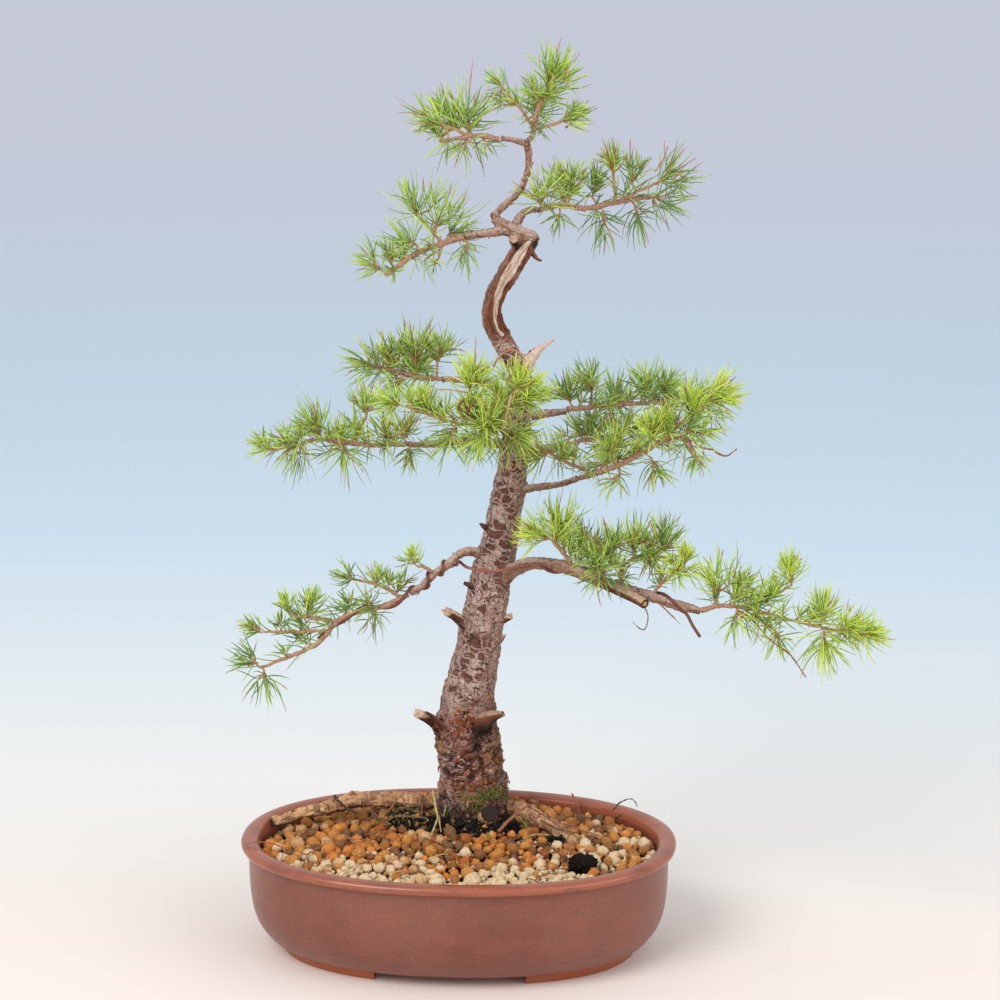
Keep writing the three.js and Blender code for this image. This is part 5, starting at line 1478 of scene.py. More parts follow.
def needle_tree():
    """A three-sided blade on each point, as long as its reach, bent more and more towards its tip."""
    tree = Geometry("needles", "Width")
    math_node, times = tree.math, tree.times
    x, y, z = tree.split(tree.position())
    keys = {"Geometry": tree.cone(3, 5, 1.0, 1.0), "Name": "along", "Value": z}
    blade = tree.add("GeometryNodeStoreNamedAttribute", keys, data_type="FLOAT", domain="POINT")[0]
    wide = math_node("MINIMUM", math_node("MULTIPLY_ADD", z, 2.0, 0.6), 1.0)
    narrow = math_node("MAXIMUM", math_node("SUBTRACT", 1.0, math_node("POWER", z, 5.0)), 0.0)
    wide = math_node("MAXIMUM", times(wide, math_node("POWER", narrow, 0.6)), 0.25)
    flat = tree.add("ShaderNodeCombineXYZ", {0: x, 1: y, 2: 0.0})[0]
    blade = tree.move(blade, tree.scaled(flat, math_node("SUBTRACT", wide, 1.0)))

    half = times(tree.given["Width"], tree.random(0.42, 0.6, 3))
    half = times(half, tree.span(tree.attribute("dry"), 0.5, 1.0, 1.0, 0.72))
    size = tree.add("ShaderNodeCombineXYZ", {0: half, 1: times(half, 0.75), 2: tree.attribute("reach")})[0]
    needles = tree.spread(blade, tree.towards(tree.arrow("aim")), size)
    curve = math_node("POWER", math_node("MAXIMUM", tree.attribute("along"), 0.0), 2.1)
    return tree.end(tree.move(needles, tree.scaled(tree.arrow("bend"), curve)))


def needle_material(settings):
    tree = Shader("larch_needle")
    span, plus = tree.span, tree.plus
    tone, along, dry = (tree.attribute(name) for name in ("tone", "along", "dry"))
    veins = tree.noise(tree.place(), 0.45)
    tone = plus(tone, span(veins, 0.3, 0.7, -0.07, 0.07), span(along, 0.55, 1.0, 0.0, 0.08))
    green = tree.coats(
        tree.mix(span(tone, 0.0, 0.5), settings.dark, settings.middle),
        (settings.fresh, tone, 0.5, 1.0),
        (settings.dry, span(along, 0.0, 0.12, 0.45, 0.0)),
    )
    withered = tree.times(span(plus(along, dry), 0.98, 1.14), span(dry, 0.0, 0.02))
    brown = tree.mix(span(veins, 0.4, 0.6), settings.dry, settings.faded)
    return tree.finish(tree.mix(withered, green, brown), 0.5, gloss=0.3)


class LARCH_OT_twigs(bpy.types.Operator):
    """Make the leafy stems of every spray with their spurs and buds"""

    bl_idname = "larch.twigs"
    bl_label = "Twigs"

    def execute(self, context):
        material, tree = twig_material(context.scene.larch_wood), twig_tree()
        for row, (name, spray) in enumerate(SPRAYS.items()):
            tufts = spray_tufts(spray, context.scene.larch_needles, row)
            lines = twig_lines(name + "_lines", spray, tufts, draws("twigs", row))
            keep(tree.run(lines, name + "_twigs", material), material, "bark", name + "_spray")
        return {"FINISHED"}


class LARCH_OT_needles(bpy.types.Operator):
    """Make the needles of every spray"""

    bl_idname = "larch.needles"
    bl_label = "Needles"

    def execute(self, context):
        settings = context.scene.larch_needles
        material, tree = needle_material(settings), needle_tree()
        for row, (name, spray) in enumerate(SPRAYS.items()):
            tufts = spray_tufts(spray, settings, row)
            points = needle_points(name + "_points", spray, tufts, settings, draws("needles", row))
            needles = tree.run(points, name + "_needles", material, Width=settings.width)
            keep(needles, material, spray.slot, name + "_spray")
        return {"FINISHED"}


# Pot: an oval shell with a rolled lip on two curved feet

POT_HALF = (120.0, 83.0)
OVAL_EXPONENT = 2.2
FLOOR = 11.0
BELLY = [
    [21,5], [19,5.6], [17,6.8], [14.5,8.8], [12,11.8], [9.5,15.4], [7.6,19.5], [6,25], [5,32], [4.5,39], [4.3,46],
    [4.3,53],
]
LIP = [
    [4.1,56.2], [3.3,57], [1.9,57.5], [0.8,58.4], [0.2,59.6], [0.1,60.9], [0.8,62], [2.2,62.7], [4,63], [6.2,62.9],
    [8,62.4], [9.4,61.4], [10,60],
]
INNER_WALL = [[10.2,57], [10.6,46], [11,30], [12,23], [14.5,17.5], [17.5,13.5], [20,11]]
FOOT = [[31,0.7], [30.3,0], [22.7,0], [22,0.7], [20.6,6.4], [32.4,6.4]]
FOOT_GAP = 41.0
DRAIN_OFFSET, DRAIN_RADIUS = 45.0, 9.0
POT_SIDES = 200
SOIL_EDGE, MOUND, MOUND_PLACE, MOUND_SPREAD = 54.0, 10.0, (9.0, 34.0), 34.0


def oval(inset, angles, z):
    """Places on the pot's oval, inset from the outermost edge of its lip."""
    power = 2 / OVAL_EXPONENT
    x = (POT_HALF[0] - inset) * np.sign(np.sin(angles)) * np.abs(np.sin(angles)) ** power
    y = -max(POT_HALF[1] - inset, 0) * np.sign(np.cos(angles)) * np.abs(np.cos(angles)) ** power
    return np.column_stack([x, y, np.full(len(angles), float(z))])


def even_angles(count):
    """Angles that cut the pot's oval into equal lengths."""
    dense = np.linspace(0, FULL_TURN, 4001)
    places = oval(0, dense, 0)
    run = np.concatenate([[0], np.cumsum(np.linalg.norm(np.diff(places, axis=0), axis=1))])
    return np.interp(np.arange(count) * run[-1] / count, run, dense)


def lathe(name, profile, loop):
    """An oval solid from its profile of [inset, z], from the lower middle outwards."""
    angles = even_angles(POT_SIDES)
    made = mesh_object(name, *flat_ended([oval(inset, angles, z) for inset, z in profile], loop))
    return weld(made, 1e-6)


def rounded(profile, steps):
    """A profile with more places on a smooth line through its own."""
    points = np.column_stack([np.array(profile, dtype=float), np.zeros(len(profile))])
    places = [between(points, i, np.arange(steps) / steps) for i in range(len(points) - 1)]
    return np.vstack([*places, points[-1:]])[:, :2].tolist()


def cut(made, tool, operation):
    add_modifier(made, "BOOLEAN", operation=operation, solver="EXACT", object=tool)
    result = plain(made, made.name)
    remove(tool)
    return result


def box_mesh(name, low, high):
    corners = np.array([[x, y, z] for x in (low[0], high[0]) for y in (low[1], high[1]) for z in (low[2], high[2])])
    faces = [(0, 1, 3, 2), (4, 6, 7, 5), (0, 4, 5, 1), (2, 3, 7, 6), (0, 2, 6, 4), (1, 5, 7, 3)]
    return weld(mesh_object(name, corners, faces), 1e-6)


def drum(name, centre, radius, low, high):
    angles = ring_angles(48)
    x, y = centre + radius * np.cos(angles), radius * np.sin(angles)
    return mesh_object(name, *flat_ended([np.column_stack([x, y, np.full(len(x), z)]) for z in (low, high)]))


def pot_mesh():
    pot = lathe("clay_pot", rounded(BELLY, 3) + rounded(LIP, 2) + rounded(INNER_WALL, 2), False)
    feet = lathe("pot_feet", FOOT, True)
    gap = box_mesh("foot_gap", (-FOOT_GAP, -100, -5), (FOOT_GAP, 100, 10))
    pot = cut(pot, cut(feet, gap, "DIFFERENCE"), "UNION")
    for side in (-1, 1):
        pot = cut(pot, drum("drain_hole", side * DRAIN_OFFSET, DRAIN_RADIUS, -5, FLOOR + 8), "DIFFERENCE")
    return pot


def clay_material(clay):
    tree = Shader("fired_clay")
    mix, span, plus, times = tree.mix, tree.span, tree.plus, tree.times
    place = tree.place()
    height = tree.split(place)[2]
    clouds = tree.noise(place, 0.018, 4.0, 0.6)
    drift = tree.noise(tree.stretched(place, (1.0, 1.0, 2.5)), 0.05, 5.0, 0.65)
    grain = tree.noise(place, 0.9, 5.0, 0.7)
    pits, grog = tree.cells(place, 0.42), tree.cells(place, 0.17)
    warm = mix(span(clouds, 0.38, 0.62), clay.body, clay.haze)
    warm = mix(span(drift, 0.42, 0.7, 0.0, 0.35), warm, clay.rim)
    warm = mix(span(grain, 0.36, 0.64, 0.0, 0.32), warm, clay.dust, "MULTIPLY")
    lip = span(plus(height, span(drift, 0.3, 0.7, -1.0, 1.0)), 56.0, 58.5)
    warm = tree.coats(
        warm,
        (mix(span(drift, 0.45, 0.7), clay.rim, clay.body), lip),
        (clay.foot, plus(height, span(drift, 0.3, 0.7, -2.0, 2.0)), 9.0, 4.0),
        (clay.speck, times(span(grog, 0.035, 0.02), span(clouds, 0.4, 0.6, 0.2, 0.9))),
    )
    warm = mix(times(span(pits, 0.09, 0.05), 0.55), warm, clay.dust, "MULTIPLY")
    rough = tree.math("SUBTRACT", plus(clay.roughness, span(grain, 0.3, 0.7, -0.05, 0.1)), times(lip, 0.12))
    height = plus(times(grain, 0.5), span(pits, 0.1, 0.0, 0.0, -0.8), times(drift, 0.7))
    return tree.finish(warm, rough, height, 0.00007, gloss=0.6)


class LARCH_OT_pot(bpy.types.Operator):
    """Make the oval pot with its lip, feet and drain holes"""

    bl_idname = "larch.pot"
    bl_label = "Pot"

    def execute(self, context):
        keep(pot_mesh(), clay_material(context.scene.larch_pot), "fired_clay", "pot", sharp_above=38)
        return {"FINISHED"}


# Soil: a dark bed under loose granules, painted shade in the gaps between them, with muck, moss and litter round the
# trunk

BED_SIDES = 120
BED_DEPTH = 2.0
# Mounds of fine black soil: place of the middle and half sizes. The last is a lump near the rim
MUCK = [
    [-2,19,57,25,12,9.5], [13,14,58,14,12,9.5], [-25,24,60,13,10,6], [25,18,60,9,9,7], [-33,30,61,11,8,5],
    [52,8,57,8,4,4], [70,-29.8,59,8.4,6.4,5.2],
]
# Bands where pale granules lie: x, y, half width, half depth, share of cream
PALE_BANDS = [[5,-62,80,19,0.96], [40,-47,42,15,0.82], [-62,-42,38,20,0.6], [78,-10,25,34,0.4], [-30,-26,30,16,0.3]]
DARK_PATCHES = [[77,-26,13,9], [0,24,34,17], [40,8,22,12], [-60,20,18,9], [70,8,18,12]]
ORANGE_PATCHES = [[0,-28,46,20], [-52,0,24,15], [28,-30,30,14]]
# The tones of granules
OCHRE, ORANGE, CREAM, GREY, BLACK = 0.0, 1.0, 2.0, 3.0, 4.0
# The side of a square of the grid that finds the granules near a place
SQUARE = 6.0
MOST_IN_PIECE = 1500
# How square a granule is: 2 for a ball, and more for a cube
SQUARENESS = 3.4


def soil_height(x, y):
    away = (x - MOUND_PLACE[0]) ** 2 + (y - MOUND_PLACE[1]) ** 2
    return SOIL_EDGE + MOUND * np.exp(-away / (2 * MOUND_SPREAD**2))


def inside_pot(x, y, inset):
    a, b = POT_HALF[0] - inset, POT_HALF[1] - inset
    return (np.abs(x) / a) ** OVAL_EXPONENT + (np.abs(y) / b) ** OVAL_EXPONENT < 1


def wood_samples(top):
    """Places and radii of the trunk and roots below a height, to keep granules out of them."""
    samples = [curve_points(WOOD[name], 2.0)[:2] for name in ("trunk", *ROOTS)]
    places, radii = (np.concatenate(column) for column in zip(*samples))
    low = places[:, 2] < top
    return places[low], radii[low]


def soil_bed():
    """The dark bed, down to the floor of the pot. Its near-black colour is painted shade seen in the gaps between the
    granules.
    """
    angles = even_angles(BED_SIDES)
    chance = draws("bed")
    vertices, faces = [np.array([[0.0, 0.0, float(soil_height(0, 0)) - BED_DEPTH]])], []
    reaches = [1 - share for share in np.linspace(0, 1, 36)[:-1]][::-1]
    edge = oval(11.2, angles, 0)
    for reach in reaches:
        ring = edge * reach
        ring[:, 2] = soil_height(ring[:, 0], ring[:, 1]) - BED_DEPTH + chance.normal(0, 0.35, BED_SIDES)
        vertices.append(ring)
    lower = [[11.6, 30], [12.6, 23], [15, 17.5], [18, 13.8], [20.6, 11.6]]
    vertices += [oval(inset, angles, z) for inset, z in lower]
    vertices.append(np.array([[0.0, 0.0, 11.6]]))
    rings = len(reaches) + len(lower)
    rear = 1 + (rings - 1) * BED_SIDES
    for i in range(BED_SIDES):
        j = (i + 1) % BED_SIDES
        faces += [(0, 1 + i, 1 + j), (rear + BED_SIDES, rear + j, rear + i)]
        for a in range(1, rear, BED_SIDES):
            b = a + BED_SIDES
            faces.append((a + i, b + i, b + j, a + j))
    return weld(mesh_object("soil_bed", np.vstack(vertices), faces), 1e-7)


def granule_tone(x, y, chance):
    """The tone of a granule, each more or less likely by place."""

    def within(px, py, a, b):
        return np.exp(-(((x - px) / a) ** 2 + ((y - py) / b) ** 2))

    pale = max(share * min(1, 1.6 * within(*band)) for *band, share in PALE_BANDS)
    grey = 0.06 + 0.26 * max(within(*patch) for patch in DARK_PATCHES)
    orange = 0.14 + 0.36 * max(within(*patch) for patch in ORANGE_PATCHES)
    if chance.uniform() < pale:
        return CREAM
    luck = chance.uniform()
    if luck < grey:
        return GREY
    return ORANGE if luck < grey + orange * (1 - grey) else OCHRE


def on_muck(x, y):
    return any(((x - px) / a) ** 2 + ((y - py) / b) ** 2 < 0.8 for px, py, _, a, b, _ in MUCK)


def clear_of(others, overlap, x, y, radius):
    """Whether a granule keeps clear of others, given as place and radius, but for their overlap."""
    return all((x - a) ** 2 + (y - b) ** 2 >= (overlap * (radius + r)) ** 2 for a, b, *_, r in others)


def packed(low, high, darts, overlap, chance, taken, lift):
    """Seeded darts on the soil that keep clear of each other, of the wood and of the pot's wall."""
    grid, kept = {}, []
    wood, girth = taken
    for _ in range(darts):
        radius = low + (high - low) * chance.uniform() ** 1.25
        x, y = chance.uniform(-110, 110), chance.uniform(-73, 73)
        if not inside_pot(x, y, 11.0 + radius * 0.85) or on_muck(x, y):
            continue
        z = float(soil_height(x, y)) + lift + chance.uniform(-0.9, 0.9)
        row, column = int(x // SQUARE), int(y // SQUARE)
        near_by = [g for i in (-1, 0, 1) for j in (-1, 0, 1) for g in grid.get((row + i, column + j), ())]
        if not clear_of(near_by, overlap, x, y, radius):
            continue
        if (np.linalg.norm(wood - (x, y, z), axis=1) < girth + 0.3 * radius).any():
            continue
        kept.append((x, y, z, radius))
        grid.setdefault((row, column), []).append(kept[-1])
    return kept


def granules(settings, chance):
    """The places, radii and tones of the loose granules, from large to small."""
    most, least = settings.largest / MM / 2, settings.smallest / MM / 2
    taken = wood_samples(90)
    found = packed((most + least) * 0.46, most, 6000, 0.94, chance, taken, 0.4)
    for low, high, darts, overlap, lift, room in (
        (least * 1.1, most * 0.72, 9000, 0.88, -0.6, 0.62), (least * 0.66, least * 1.2, 12000, 0.82, -0.2, 0.66),
    ):
        smaller = packed(low, high, darts, overlap, chance, taken, lift)
        found += [g for g in smaller if clear_of(found, room, g[0], g[1], g[3])]
    tones = [granule_tone(x, y, chance) for x, y, _, _ in found]
    return np.array(found)[:, :3], np.array(found)[:, 3], tones


def root_crust(chance):
    """Small granules stuck on top of the left root."""
    centres, girth, shares = curve_points(thinner(WOOD["rootLeft"]), 1.0)
    chosen = chance.choice(np.flatnonzero((shares > 0.22) & (shares < 0.78)), 15, replace=False)
    lean = chance.normal(0.35, 0.55, len(chosen))
    _, across, up = (axis[chosen] for axis in frames_along(centres))
    front = np.where(across[:, 1:2] < 0, 1.0, -1.0)
    out = up * np.cos(lean)[:, None] + across * front * np.sin(lean)[:, None]
    radii = chance.uniform(0.9, 2.3, len(chosen))
    tones = chance.choice([OCHRE, ORANGE, CREAM], len(chosen), p=[0.6, 0.12, 0.28])
    return centres[chosen] + out * girth[chosen, None], radii, tones


def granule_tree():
    """A lumpy rounded granule on each point, with its own shape from noise."""
    tree = Geometry("granules", "Lumps")
    ball = tree.add("GeometryNodeMeshUVSphere", {"Segments": 8, "Rings": 6, "Radius": 1.0})[0]
    spot = tree.position()
    cubes = [tree.math("POWER", side, SQUARENESS) for side in tree.split(tree.vector("ABSOLUTE", spot))]
    corner = tree.math("POWER", tree.plus(*cubes), -1 / SQUARENESS)
    ball = tree.move(ball, tree.scaled(spot, tree.math("SUBTRACT", corner, 1.0)))
    turn = tree.random((-0.9, -0.9, 0.0), (0.9, 0.9, 6.28), 2)
    shape = tree.random((0.68, 0.68, 0.6), (1.06, 1.06, 0.96), 3)
    grains = tree.spread(ball, turn, tree.scaled(shape, tree.attribute("size")))
    return tree.end(tree.crumpled(grains, 0.3, tree.times(tree.attribute("size"), tree.given["Lumps"])))


def granule_material(soil):
    tree = Shader("soil_granules")
    mix, span = tree.mix, tree.span
    place, tone, shade = tree.place(), tree.attribute("tone"), tree.attribute("shade")
    mottle = tree.noise(place, 0.3, 4.0, 0.65)
    grain = tree.noise(place, 1.3, 5.0, 0.7)
    pores = tree.cells(place, 0.8)
    baked = tree.coats(
        mix(span(shade, 0.0, 0.06, 0.4, 0.0), soil.ochre, soil.cream),
        (soil.brown, shade, 0.34, 0.4, 0.6),
        (soil.grey, shade, 0.66, 0.7, 0.5),
        (soil.orange, tone, 0.4, 0.6),
        (soil.brown, mottle, 0.48, 0.7, 0.5),
        (soil.cream, mottle, 0.42, 0.3, 0.5),
    )
    cream = tree.coats(
        mix(span(mottle, 0.5, 0.7, 0.0, 0.6), soil.cream, soil.ochre),
        (soil.ochre, shade, 0.7, 1.0, 0.45),
    )
    skin = tree.coats(
        mix(span(shade, 0.74, 1.0, 0.0, 0.75), baked, soil.brown, "MULTIPLY"),
        (cream, tone, 1.4, 1.6),
        (mix(span(mottle, 0.45, 0.6), soil.grey, soil.brown), tone, 2.4, 2.6),
        (soil.muck, tone, 3.4, 3.6),
        (soil.muck, grain, 0.58, 0.72, 0.6),
    )
    height = tree.plus(grain, span(pores, 0.3, 0.0, 0.0, -0.6), tree.times(mottle, 2.6))
    return tree.finish(skin, span(grain, 0.3, 0.7, 0.5, 0.9), height, 0.0012)


# Painted shade: the bed is near-black so that the gaps between the granules look shaded. The same material colours the
# real black soil mounds.
def bed_material(soil):
    tree = Shader("soil_bed")
    grain = tree.noise(tree.place(), 0.7, 5.0, 0.7)
    return tree.finish(tree.coats(soil.muck, (soil.brown, grain, 0.58, 0.74, 0.6)), 0.9, grain, 0.0014, gloss=0.2)


class LARCH_OT_soil(bpy.types.Operator):
    """Make the soil bed and the loose granules on it"""

    bl_idname = "larch.soil"
    bl_label = "Soil and granules"

    def execute(self, context):
        settings = context.scene.larch_soil
        keep(soil_bed(), bed_material(settings), "granules", "soil")
        chance = draws("soil")
        loose = granules(settings, chance), root_crust(chance)
        places, radii, tones = (np.concatenate(column) for column in zip(*loose))
        shade = chance.uniform(0, 1, len(places)) ** 1.5
        material, tree = granule_material(settings), granule_tree()
        for part, start in enumerate(range(0, len(places), MOST_IN_PIECE), 1):
            some = slice(start, start + MOST_IN_PIECE)
            points = mesh_object("grains", places[some], size=radii[some] * MM, tone=tones[some], shade=shade[some])
            keep(tree.run(points, f"soil_granules_{part}", material, Lumps=0.95), material, "granules", "soil")
        return {"FINISHED"}


# Training wire and drain screens

WIRE_FRONT = [[-1,18.5,214], [4,13.4,212], [13,11,211], [21,10,211], [28,8.2,213]]
WIRE_TAIL = [[127,-18,190], [131,-19,184]]
WIRE_OUT = 0.6
STEPS_PER_TURN = 8
# The wire is palest where it crosses the trunk, about here along x
WIRE_SHIFT = -14.0 - POT_CENTRE[0] / MM


def coil(points, start, end, turns, phase, crowding=1.0):
    """Places of the wire wound round a limb, closer together towards the end."""
    count = round(STEPS_PER_TURN * turns)
    stops = start + (end - start) * (1 - (1 - np.arange(count + 1) / count) ** crowding)
    ahead = [unit(place_at(points, min(s + 1e-4, 1))[0] - place_at(points, max(s - 1e-4, 0))[0]) for s in stops]
    places = []
    for i, up in enumerate(ups_along(ahead)):
        centre, radius = place_at(points, stops[i])
        angle = phase + FULL_TURN * turns * i / count
        places.append(centre + (radius + WIRE_OUT) * round_of(up, np.cross(ahead[i], up), angle))
    return places


def wire_route():
    outer = [[x, y, z, TWIG_TRIM * radius] for x, y, z, radius in SPRAYS["lower_left"].stems[0][1:]]
    left = coil(thinner(WOOD["lowerLeft"])[1:] + outer, 0.72, 0.05, 4.5, 0.4, 1.4)
    right = coil(thinner(WOOD["lowerRight"])[2:], 0.08, 0.87, 2.2, 1.5)
    return [[*place, 1.0] for place in [*left, *WIRE_FRONT, *right, *WIRE_TAIL]]


def wire_tree():
    tree = Geometry("wire", "Width")
    return tree.end(tree.swept(14, tree.times(tree.given["Width"], 0.5)))


def wire_material(settings):
    tree = Shader("anodised_wire")
    place = tree.place()
    wear = tree.noise(place, 0.5, 4.0, 0.6)
    aside = tree.math("ABSOLUTE", tree.plus(tree.split(place)[0], WIRE_SHIFT))
    skin = tree.coats(settings.copper, (settings.worn, aside, 30.0, 8.0), (settings.worn, wear, 0.45, 0.7, 0.5))
    return tree.finish(skin, tree.span(wear, 0.3, 0.7, 0.35, 0.55), wear, 0.0001, metallic=0.35)


def screen_material(settings):
    tree = Shader("screen_plastic")
    grain, dust = tree.noise(tree.place(), 1.5), tree.noise(tree.place(), 0.2)
    return tree.finish(tree.coats(settings.plastic, (settings.dust, dust, 0.45, 0.7, 0.5)), 0.6, grain, 0.0001)


class LARCH_OT_wire(bpy.types.Operator):
    """Wind the training wire, and dress the drain screens"""

    bl_idname = "larch.wire"
    bl_label = "Wire and screens"

    def execute(self, context):
        settings = context.scene.larch_wire
        places, radii, _ = curve_points(wire_route(), 0.7)
        line = Lines()
        line.draw(places, radii)
        copper, plastic = wire_material(settings), screen_material(settings)
        wire = wire_tree().run(line.mesh("wire_line"), "copper_wire", copper, Width=settings.width)
        keep(wire, copper, "anodised_wire", "training_wire", sharp_above=60)
        for name in ("drain_screen_left", "drain_screen_right"):
            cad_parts[name].data.materials.clear()
            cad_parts[name].data.materials.append(plastic)
        return {"FINISHED"}


# Black soil, moss and litter at the foot of the trunk

# Each strand: its radius, its tone (0 black, 0.7 reddish, 1 straw, 1.6 green) and its route
STRANDS = [
    (0.45,0.75,[[-116.1,-23.7,64.5], [-108.8,-24.6,65], [-102,-18.8,62.5], [-94.4,-22.1,61], [-93,-34.8,60.5],
    [-93.9,-50.7,59.5]]), (0.9,0.1,[[-73.4,33.5,73], [-69.4,32.8,68], [-64.5,34.4,64], [-59.4,33.7,62]]),
    (0.6,0.6,[[-39.7,36.1,67], [-43.8,31.9,63], [-47.8,21.8,60.5]]), (0.6,0.45,[[-53.4,27.1,68], [-46.8,23.7,64],
    [-40.3,20.9,61]]), (0.9,0.2,[[-23.5,33,74], [-22.7,25.3,67], [-22.1,15.5,61]]), (0.6,1,[[-17,32,77],
    [-13.8,15,72], [-12.6,12,69], [-15.6,4,61]]), (0.5,0.9,[[-12.1,14,69], [-11.2,9,66], [-10,4,63]]),
    (0.9,0.3,[[-42.4,24.7,62], [-35.4,20,66], [-27.9,17,67], [-18.5,12,68]]), (0.55,0.55,[[-62.8,-2.1,61.5],
    [-57.4,-9.6,62], [-52.2,-16.1,61]]), (1.1,0.55,[[21.8,4,64], [26.3,9,68], [32.7,16,72], [38,22,74]]),
    (0.5,0.5,[[59.9,62.3,67], [63.1,55.5,64], [64.6,48.1,60]]), (0.45,0,[[83.2,51.7,61], [88.2,53.1,66],
    [94.5,51.5,68.5], [98,45.2,66]]), (0.6,0.15,[[65.8,32.9,60], [69.2,30.5,64], [76.6,26.8,64.5], [80.7,21.1,62],
    [82.1,13.6,59]]), (0.9,0,[[85.8,39.9,61], [89.1,40.7,62.5]]), (0.5,0.3,[[44.5,16,67], [54.9,8,65], [65.8,10,62]]),
    (0.5,0.5,[[48,18,70], [57.9,9,67], [71.8,12,62], [79.8,10,60]]), (0.5,0.45,[[36,24,73], [47,15,70], [60,5,64]]),
    (0.5,0.5,[[31.8,-25.9,61.5], [34.6,-34.8,62], [37.1,-41.2,61]]), (0.5,0.4,[[45.7,-59.2,60], [51.7,-52.5,61],
    [58,-50,60.5]]), (0.6,1.6,[[33.4,13,69], [38.2,7,65]]), (0.7,1.6,[[16.3,-4,66], [20,-8,62]]),
    (0.5,1.5,[[-8.1,14,75], [-9.3,10,70]]), (0.45,0.5,[[-80.7,26,72], [-75.4,30,67]]),
    # Bare twigs and single withered needles among the leafy sprays
    (1.3,0.3,[[20.4,-9,291.7], [17.9,-18,295], [13.4,-28,301.2], [7.6,-34,305.9], [4.2,-37,310.2], [6.4,-38,314.1]]),
    (0.8,0.4,[[7.6,-34,305.9], [10.6,-38,311.5], [14.4,-40,315.1]]), (1.1,0.95,[[26.3,-26,297.2], [28.8,-32,306.9],
    [31.2,-36,316.1]]), (0.5,0.85,[[12.5,-20,316.5], [11.6,-24,331.7], [12.2,-25,345]]), (0.45,0.85,[[8,-32,317],
    [0.4,-34,318.5], [-7.8,-36,318.8], [-16.7,-36,314.5]]), (0.6,0.8,[[21,-24,329.1], [24.8,-26,335.3],
    [30,-27,338.7], [34.1,-26,337.5], [38.1,-22,331.7]]), (0.6,0.85,[[28.8,-24,284], [31,-24,274.4],
    [35.2,-24,278.8]]), (0.6,0.6,[[150.8,-20,199.5], [157.1,-22,195.8], [167.9,-24,184.5], [178.6,-24,176.5],
    [187.4,-22,163.9]]), (0.42,0.75,[[103.4,24,426.4], [108.1,24,433.8], [110.1,23,440.2]]),
    (0.42,0.75,[[112.5,24,421.1], [118.7,24,429.6], [124.9,24,433.9]]), (0.6,0.75,[[137.6,20,276.6], [143.5,18,274.9],
    [149.3,17,279]]), (0.8,0.6,[[124,16,288.2], [128.9,14,281], [137,13,279.1]]), (0.4,0.3,[[98.8,-14,202.5],
    [103.1,-16,194.3], [101.1,-17,186.8], [94.7,-18,191.3]]), (0.45,0.75,[[106.8,-16,203.1], [113.8,-16,196.7],
    [120.2,-16,190.2]]), (0.42,0.75,[[56,19,449.5], [64,20,455.5], [72.5,20,460]]), (0.9,0.85,[[120.9,14,283.6],
    [125.8,12,276.4], [132.8,10,269.8]]),
]

# How many sprigs of moss and fallen needles there are, and the sawn stub that the moss leaves free
MOSS_ON_TRUNK, MOSS_ON_SOIL = 620, 110
STUB_IN_MOSS, STUB_ROOM = np.array([17, 9, 73.2]), 4.6
FALLEN = 34


def ball_mesh(x, y, z, a, b, c, sides=20, rings=12):
    """Vertices and faces of a closed ellipsoid."""
    turn = ring_angles(sides)
    rise = (np.arange(1, rings) / rings - 0.5) * math.pi
    ball = [
        np.column_stack([np.cos(turn) * np.cos(up), np.sin(turn) * np.cos(up), np.full(sides, np.sin(up))])
        for up in rise
    ]
    vertices, faces = pointed(ball, -UP, UP)
    return vertices * (a, b, c) + (x, y, z), faces


def lump_tree():
    """Crumbly relief in two sizes."""
    tree = Geometry("muck_relief", "Depth")
    place = tree.place()
    crumbs = tree.plus(tree.noise(place, 0.28, 5.0, 0.7), tree.span(tree.cells(place, 0.45), 0.0, 0.8, 0.25, -0.25))
    height = tree.times(tree.math("SUBTRACT", crumbs, 0.5), tree.given["Depth"])
    return tree.end(tree.raised(tree.given["Geometry"], height))


def muck_skin():
    made = mesh_object("muck_parts", *gathered([ball_mesh(*mound) for mound in MUCK]))
    add_modifier(made, "REMESH", mode="VOXEL", voxel_size=0.9 * MM)
    return plain(made, "muck_skin")


def top_places(made, count, chance):
    """Seeded places on the upward side of a mesh."""
    places, facing = places_of(made.data), read(made.data.vertices, "normal", 3)
    upper = np.flatnonzero((facing[:, 2] > 0.1) & (places[:, 2] > 57) & (places[:, 0] < 60))
    return places[chance.choice(upper, count, replace=False)]


def hair_points(name, places, facing, low, high, chance, tone):
    """Points for the needle tree: short hairs that leave a surface every way."""
    count = len(places)
    aim = unit(facing + chance.normal(0, 0.55, (count, 3)))
    reach = chance.uniform(low, high, count)
    bends = chance.normal(0, 0.16, (count, 3)) * reach[:, None]
    tones = np.clip(tone + chance.normal(0, 0.2, count), 0, 1)
    return needle_mesh(name, places, aim, reach, bends, tones, np.zeros(count))


